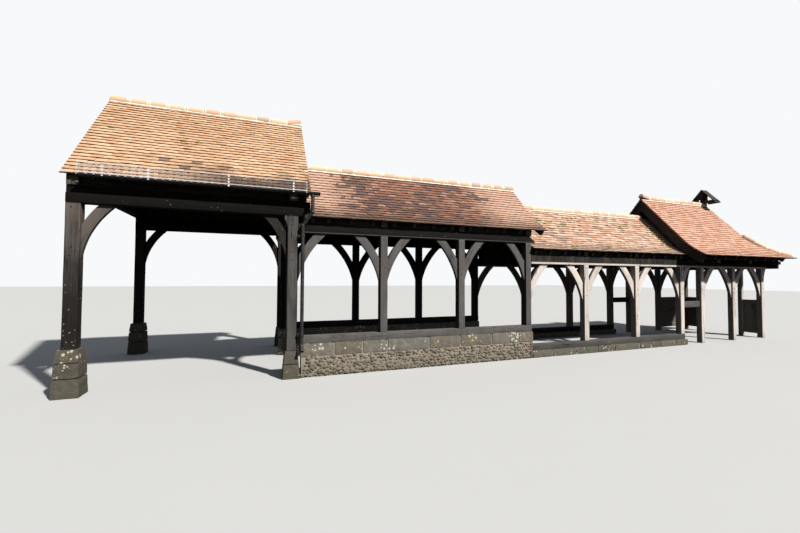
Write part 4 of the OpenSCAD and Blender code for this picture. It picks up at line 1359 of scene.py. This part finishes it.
def stepBoxes(node):
    # The long walls of a node, one box for each height of their tops
    boxes = []
    for points in loosePoints(node):
        for level in sorted({round(point.z, 3) for point in points if point.z > 0.05}):
            low, high = boxOf([point for point in points if abs(point.z - level) < 0.001])
            if high.x - low.x > 1:
                boxes.append((Vector((low.x, low.y, 0)), high))
    return inRows(boxes)


def makeWalls():
    blocks, flints, core = Heap(), Heap(), Heap()
    template = flintTemplate()
    rng = random.Random(41)
    seed = 0
    shape = stoneShape
    gap, inset, edge, spacing = shape["joint"] / 2, shape["inset"], shape["mortarEdge"], shape["flint"]
    along, through, upwards = shape["flintShapes"]
    for low, high in partBoxes("walk_plinths"):
        if high.x - low.x < 1:
            stackBlocks(blocks, low, high, 900)
    for low, high in stepBoxes("walk_plinths"):
        foot = max(0.0, high.z - shape["course"])
        x = low.x
        while x < high.x - 0.01:
            end = x + rng.uniform(*shape["blockLengths"])
            end = high.x if high.x - end < shape["shortest"] else end
            seed += 1
            addBlock(blocks, Vector((x + gap * (x > low.x), low.y, foot + gap)),
                     Vector((end - gap * (end < high.x), high.y, high.z)), seed)
            x = end
        addBlock(core, Vector((low.x + edge, low.y + inset, 0)),
                 Vector((high.x - edge, high.y - inset, high.z - edge)), 500 + seed, cell=shape["cells"][1])
        rows = int(foot / spacing) + 1 if foot > 0.1 else 0
        for row in range(rows):
            for i in range(int((high.x - low.x) / spacing)):
                for y, out in ((low.y, -1), (high.y, 1)):
                    seed += 1
                    size = rng.uniform(*shape["flintSizes"])
                    x = low.x + (i + 0.5 + shape["rowShift"] * row) * spacing
                    x += sway(rng, shape["scatter"][0])
                    z = (row + 0.5) * foot / rows + sway(rng, shape["scatter"][1])
                    x = min(max(x, low.x + size), high.x - size)
                    place = Vector((x, y - out * (inset + size * 0.15), max(z, size * 1.1)))
                    squash = (rng.uniform(*along), through, rng.uniform(*upwards))
                    addPebble(flints, template, place, size, squash, seed)
    for point in flints.points:
        point.z = max(point.z, 0.002)
    blocks.place("wallBlocks", stone["limestone"], "limestone", ["walk_plinths"])
    flints.place("wallFlints", stone["flint"], "limestone", smooth=180)
    core.place("wallMortar", stone["limeMortar"], "limestone")


def stackBlocks(heap, low, high, seed):
    # A pad is a foot block with one or two blocks on it, leaning in as it rises
    half, middle, height = (high - low) / 2, (low + high) / 2, high.z
    shape = stoneShape
    shares = shape["padShares"][0 if height < shape["lowPad"] else 1]
    for i, (below, above) in enumerate(zip(shares, shares[1:])):
        foot, top = (half.x - shape["batter"] * share for share in (below, above))
        joint, lean = shape["padJoint"] if i else 0, shape["padTop"] if above == 1 else 0
        addBlock(heap, Vector((middle.x - foot, middle.y - foot, height * below + joint)),
                 Vector((middle.x + foot, middle.y + foot, height * above)), seed + i, top - foot - lean)


def makePads():
    pads = Heap()
    for number, (low, high) in enumerate(partBoxes("path_bay_pads")):
        stackBlocks(pads, low, high, 700 + 10 * number)
    pads.place("padBlocks", stone["padStone"], "limestone", ["path_bay_pads"])


makeWalls()
makePads()
print("stonework laid")


# Wire guard, gutter and pipe

guardShape = {
    "diamondWidth": 0.1,
    "diamondHeight": 0.052,
    "wire": 0.0042,
    "rim": 0.012,  # height of the long wires that the mesh ends at
    "inset": 0.003,
    "front": 0.0035,
}


def makeGuardMesh():
    shape = guardShape
    low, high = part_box("snow_guard")
    bottom, top = low.z + shape["rim"], high.z - shape["rim"]
    y = low.y + shape["front"]
    rise, spacing = top - bottom, shape["diamondWidth"]
    run = rise / shape["diamondHeight"] * spacing
    wires = Heap()
    for i in range(-int(run / spacing) - 1, int((high.x - low.x) / spacing) + 1):
        x = low.x + i * spacing
        start, end = max(x, low.x + shape["inset"]), min(x + run, high.x - shape["inset"])
        if end - start < 0.01:
            continue
        for foot, way in ((bottom, rise), (top, -rise)):
            a, b = (Vector((side, y, foot + way * ((side - x) / run))) for side in (start, end))
            rings = [ringOf(point, (b - a).normalized(), shape["wire"], 4) for point in (a, b)]
            wires.add(rings[0] + rings[1], barFaces(4, 2), (0.5, 0.5, 0.5, 1))
    wires.place("guardWires", wireSteel, "galvanised_steel")


makeGuardMesh()
for node, material in (("gutter", blackIron), ("downpipe", blackIron), ("snow_guard", galvanised)):
    for slot in cadNodes[node].material_slots:
        slot.material = material
print("ironwork painted")


# Oak pins at the joints

pinShape = {
    "radius": 0.011,
    "proud": 0.006,
    "sunk": 0.02,
    "belowTop": 0.07,  # from the top of a post to its first pin
    "apart": 0.13,  # between the two pins of a brace
    "aside": 0.03,
    "seat": 0.003,  # how far the timber's face has worn back
    "stem": 0.7,  # share of the proud part up to which a pin keeps its width
    "tip": 0.6,  # width of its end, as a share
    "sides": 8,
}
pinned = {  # how far the upper pin of a brace lies below the top of the post
    "path_bay_posts": 0.68,
    "upper_walk_posts": 0.62,
    "lower_walk_posts": 0.62,
    "gate_posts": 0.62,
}


def makePins():
    pins = Heap()
    rng = random.Random(51)
    shape = pinShape
    rings = ((-shape["sunk"], 1.0), (shape["proud"] * shape["stem"], 1.0), (shape["proud"], shape["tip"]))
    for node, offset in pinned.items():
        for low, high in partBoxes(node):
            for face, out in ((low.y, Vector((0, -1, 0))), (high.y, Vector((0, 1, 0)))):
                for height in (high.z - shape["belowTop"], high.z - offset, high.z - offset - shape["apart"]):
                    x = (low.x + high.x) / 2 + sway(rng, shape["aside"])
                    centre = Vector((x, face - out.y * shape["seat"], height))
                    points = []
                    for reach, grow in rings:
                        points += ringOf(centre + out * reach, out, shape["radius"] * grow, shape["sides"])
                    pins.add(points, barFaces(shape["sides"], len(rings)), (0.1, 0, 0, 1))
    pins.place("oakPins", oak["oakRoofFrame"], "weathered_oak", grain=(1, 0, 2))


makePins()
print("pins driven")


# Moss on the tiles

mossBeds = {
    "path": {"count": 6, "size": 0.034,
             "spots": ((-1.77, 2.18), (-1.95, 1.68), (-1.89, 1.45), (-1.87, 1.3), (-1.8, 1.1), (-1.64, 1.38),
                       (-1.07, 2.68), (-0.75, 2.14))},
    "upper": {"count": 24, "size": 0.028,
              "spots": ((2.95, 1.0), (3.85, 1.05), (4.35, 0.5), (4.65, 0.55), (2.2, 1.72), (4.3, 1.72),
                        (4.55, 1.3))},
    "lower": {"count": 60, "size": 0.038,
              "spots": ((10.25, 1.4), (10.34, 1.3), (10.3, 1.2), (10.38, 1.12), (10.36, 1.0), (10.4, 0.9),
                        (10.36, 0.8), (10.42, 0.7), (10.4, 0.58), (10.42, 0.48), (10.4, 0.36), (10.3, 0.62),
                        (10.22, 1.1), (7.0, 1.2), (7.1, 1.25), (7.5, 1.0), (7.4, 1.1), (7.3, 0.5),
                        (8.6, 0.55), (8.9, 0.6), (8.2, 1.2))},
    "gate": {"count": 5, "size": 0.018, "spots": ()},
}

mossGrowth = {
    "verge": 0.15,  # what stays free of chance moss at the ends, the eave and the ridge
    "eave": 0.1,
    "ridge": 0.25,
    "hip": 0.2,
    "thick": (3, 6),  # lumps of a cushion on a listed spot
    "thin": (1, 3),
    "sizes": (0.5, 1.2),
    "squash": (1.5, 0.8, 0.45),
    "trials": 40,
    "scatter": 0.06,  # of the lumps of a cushion, along X
    "end": 0.05,  # what they leave free at the end of the roof
    "onCourse": (-0.012, 0.006),  # where they sit on the foot of a course
    "sunk": 0.016,  # below the top of the roof
}


def growMoss():
    growth = mossGrowth
    moss = Heap()
    template = flintTemplate()
    rng = random.Random(71)
    seed = 2000
    for name, bed in mossBeds.items():
        # Thick cushions on the listed spots, and thin ones where chance allows more
        low, high, slopes = roofs[name]
        slope = slopes[0]
        places = [(x, along, rng.randint(*growth["thick"])) for x, along in bed["spots"]]
        for trial in range(bed["count"] * growth["trials"]):
            x = rng.uniform(low + growth["verge"], high - growth["verge"])
            along = rng.uniform(growth["eave"], slope.length - growth["ridge"])
            wanted = 0.5 + 0.9 * noise.noise(Vector((x * 0.9, along * 1.4, 3.7)))
            if len(places) == bed["count"] + len(bed["spots"]) or rng.random() > wanted ** 2:
                continue
            if name == "gate" and x > gateTrim(high, *slope.at(along)) - growth["hip"]:
                continue
            places.append((x, along, rng.randint(*growth["thin"])))
        for x, along, lumps in places:
            course = round(along / tileShape["gauge"]) * tileShape["gauge"]
            for i in range(lumps):
                seed += 1
                size = bed["size"] * rng.uniform(*growth["sizes"])
                aside = min(x + sway(rng, growth["scatter"]), high - growth["end"])
                p = slope.at(course + rng.uniform(*growth["onCourse"]), growth["sunk"])
                addPebble(moss, template, Vector((aside, p.x, p.y)), size, growth["squash"], seed)
    moss.place("roofMoss", mossGreen, "lower_roof_tiles", smooth=180)


growMoss()
print("moss grown")
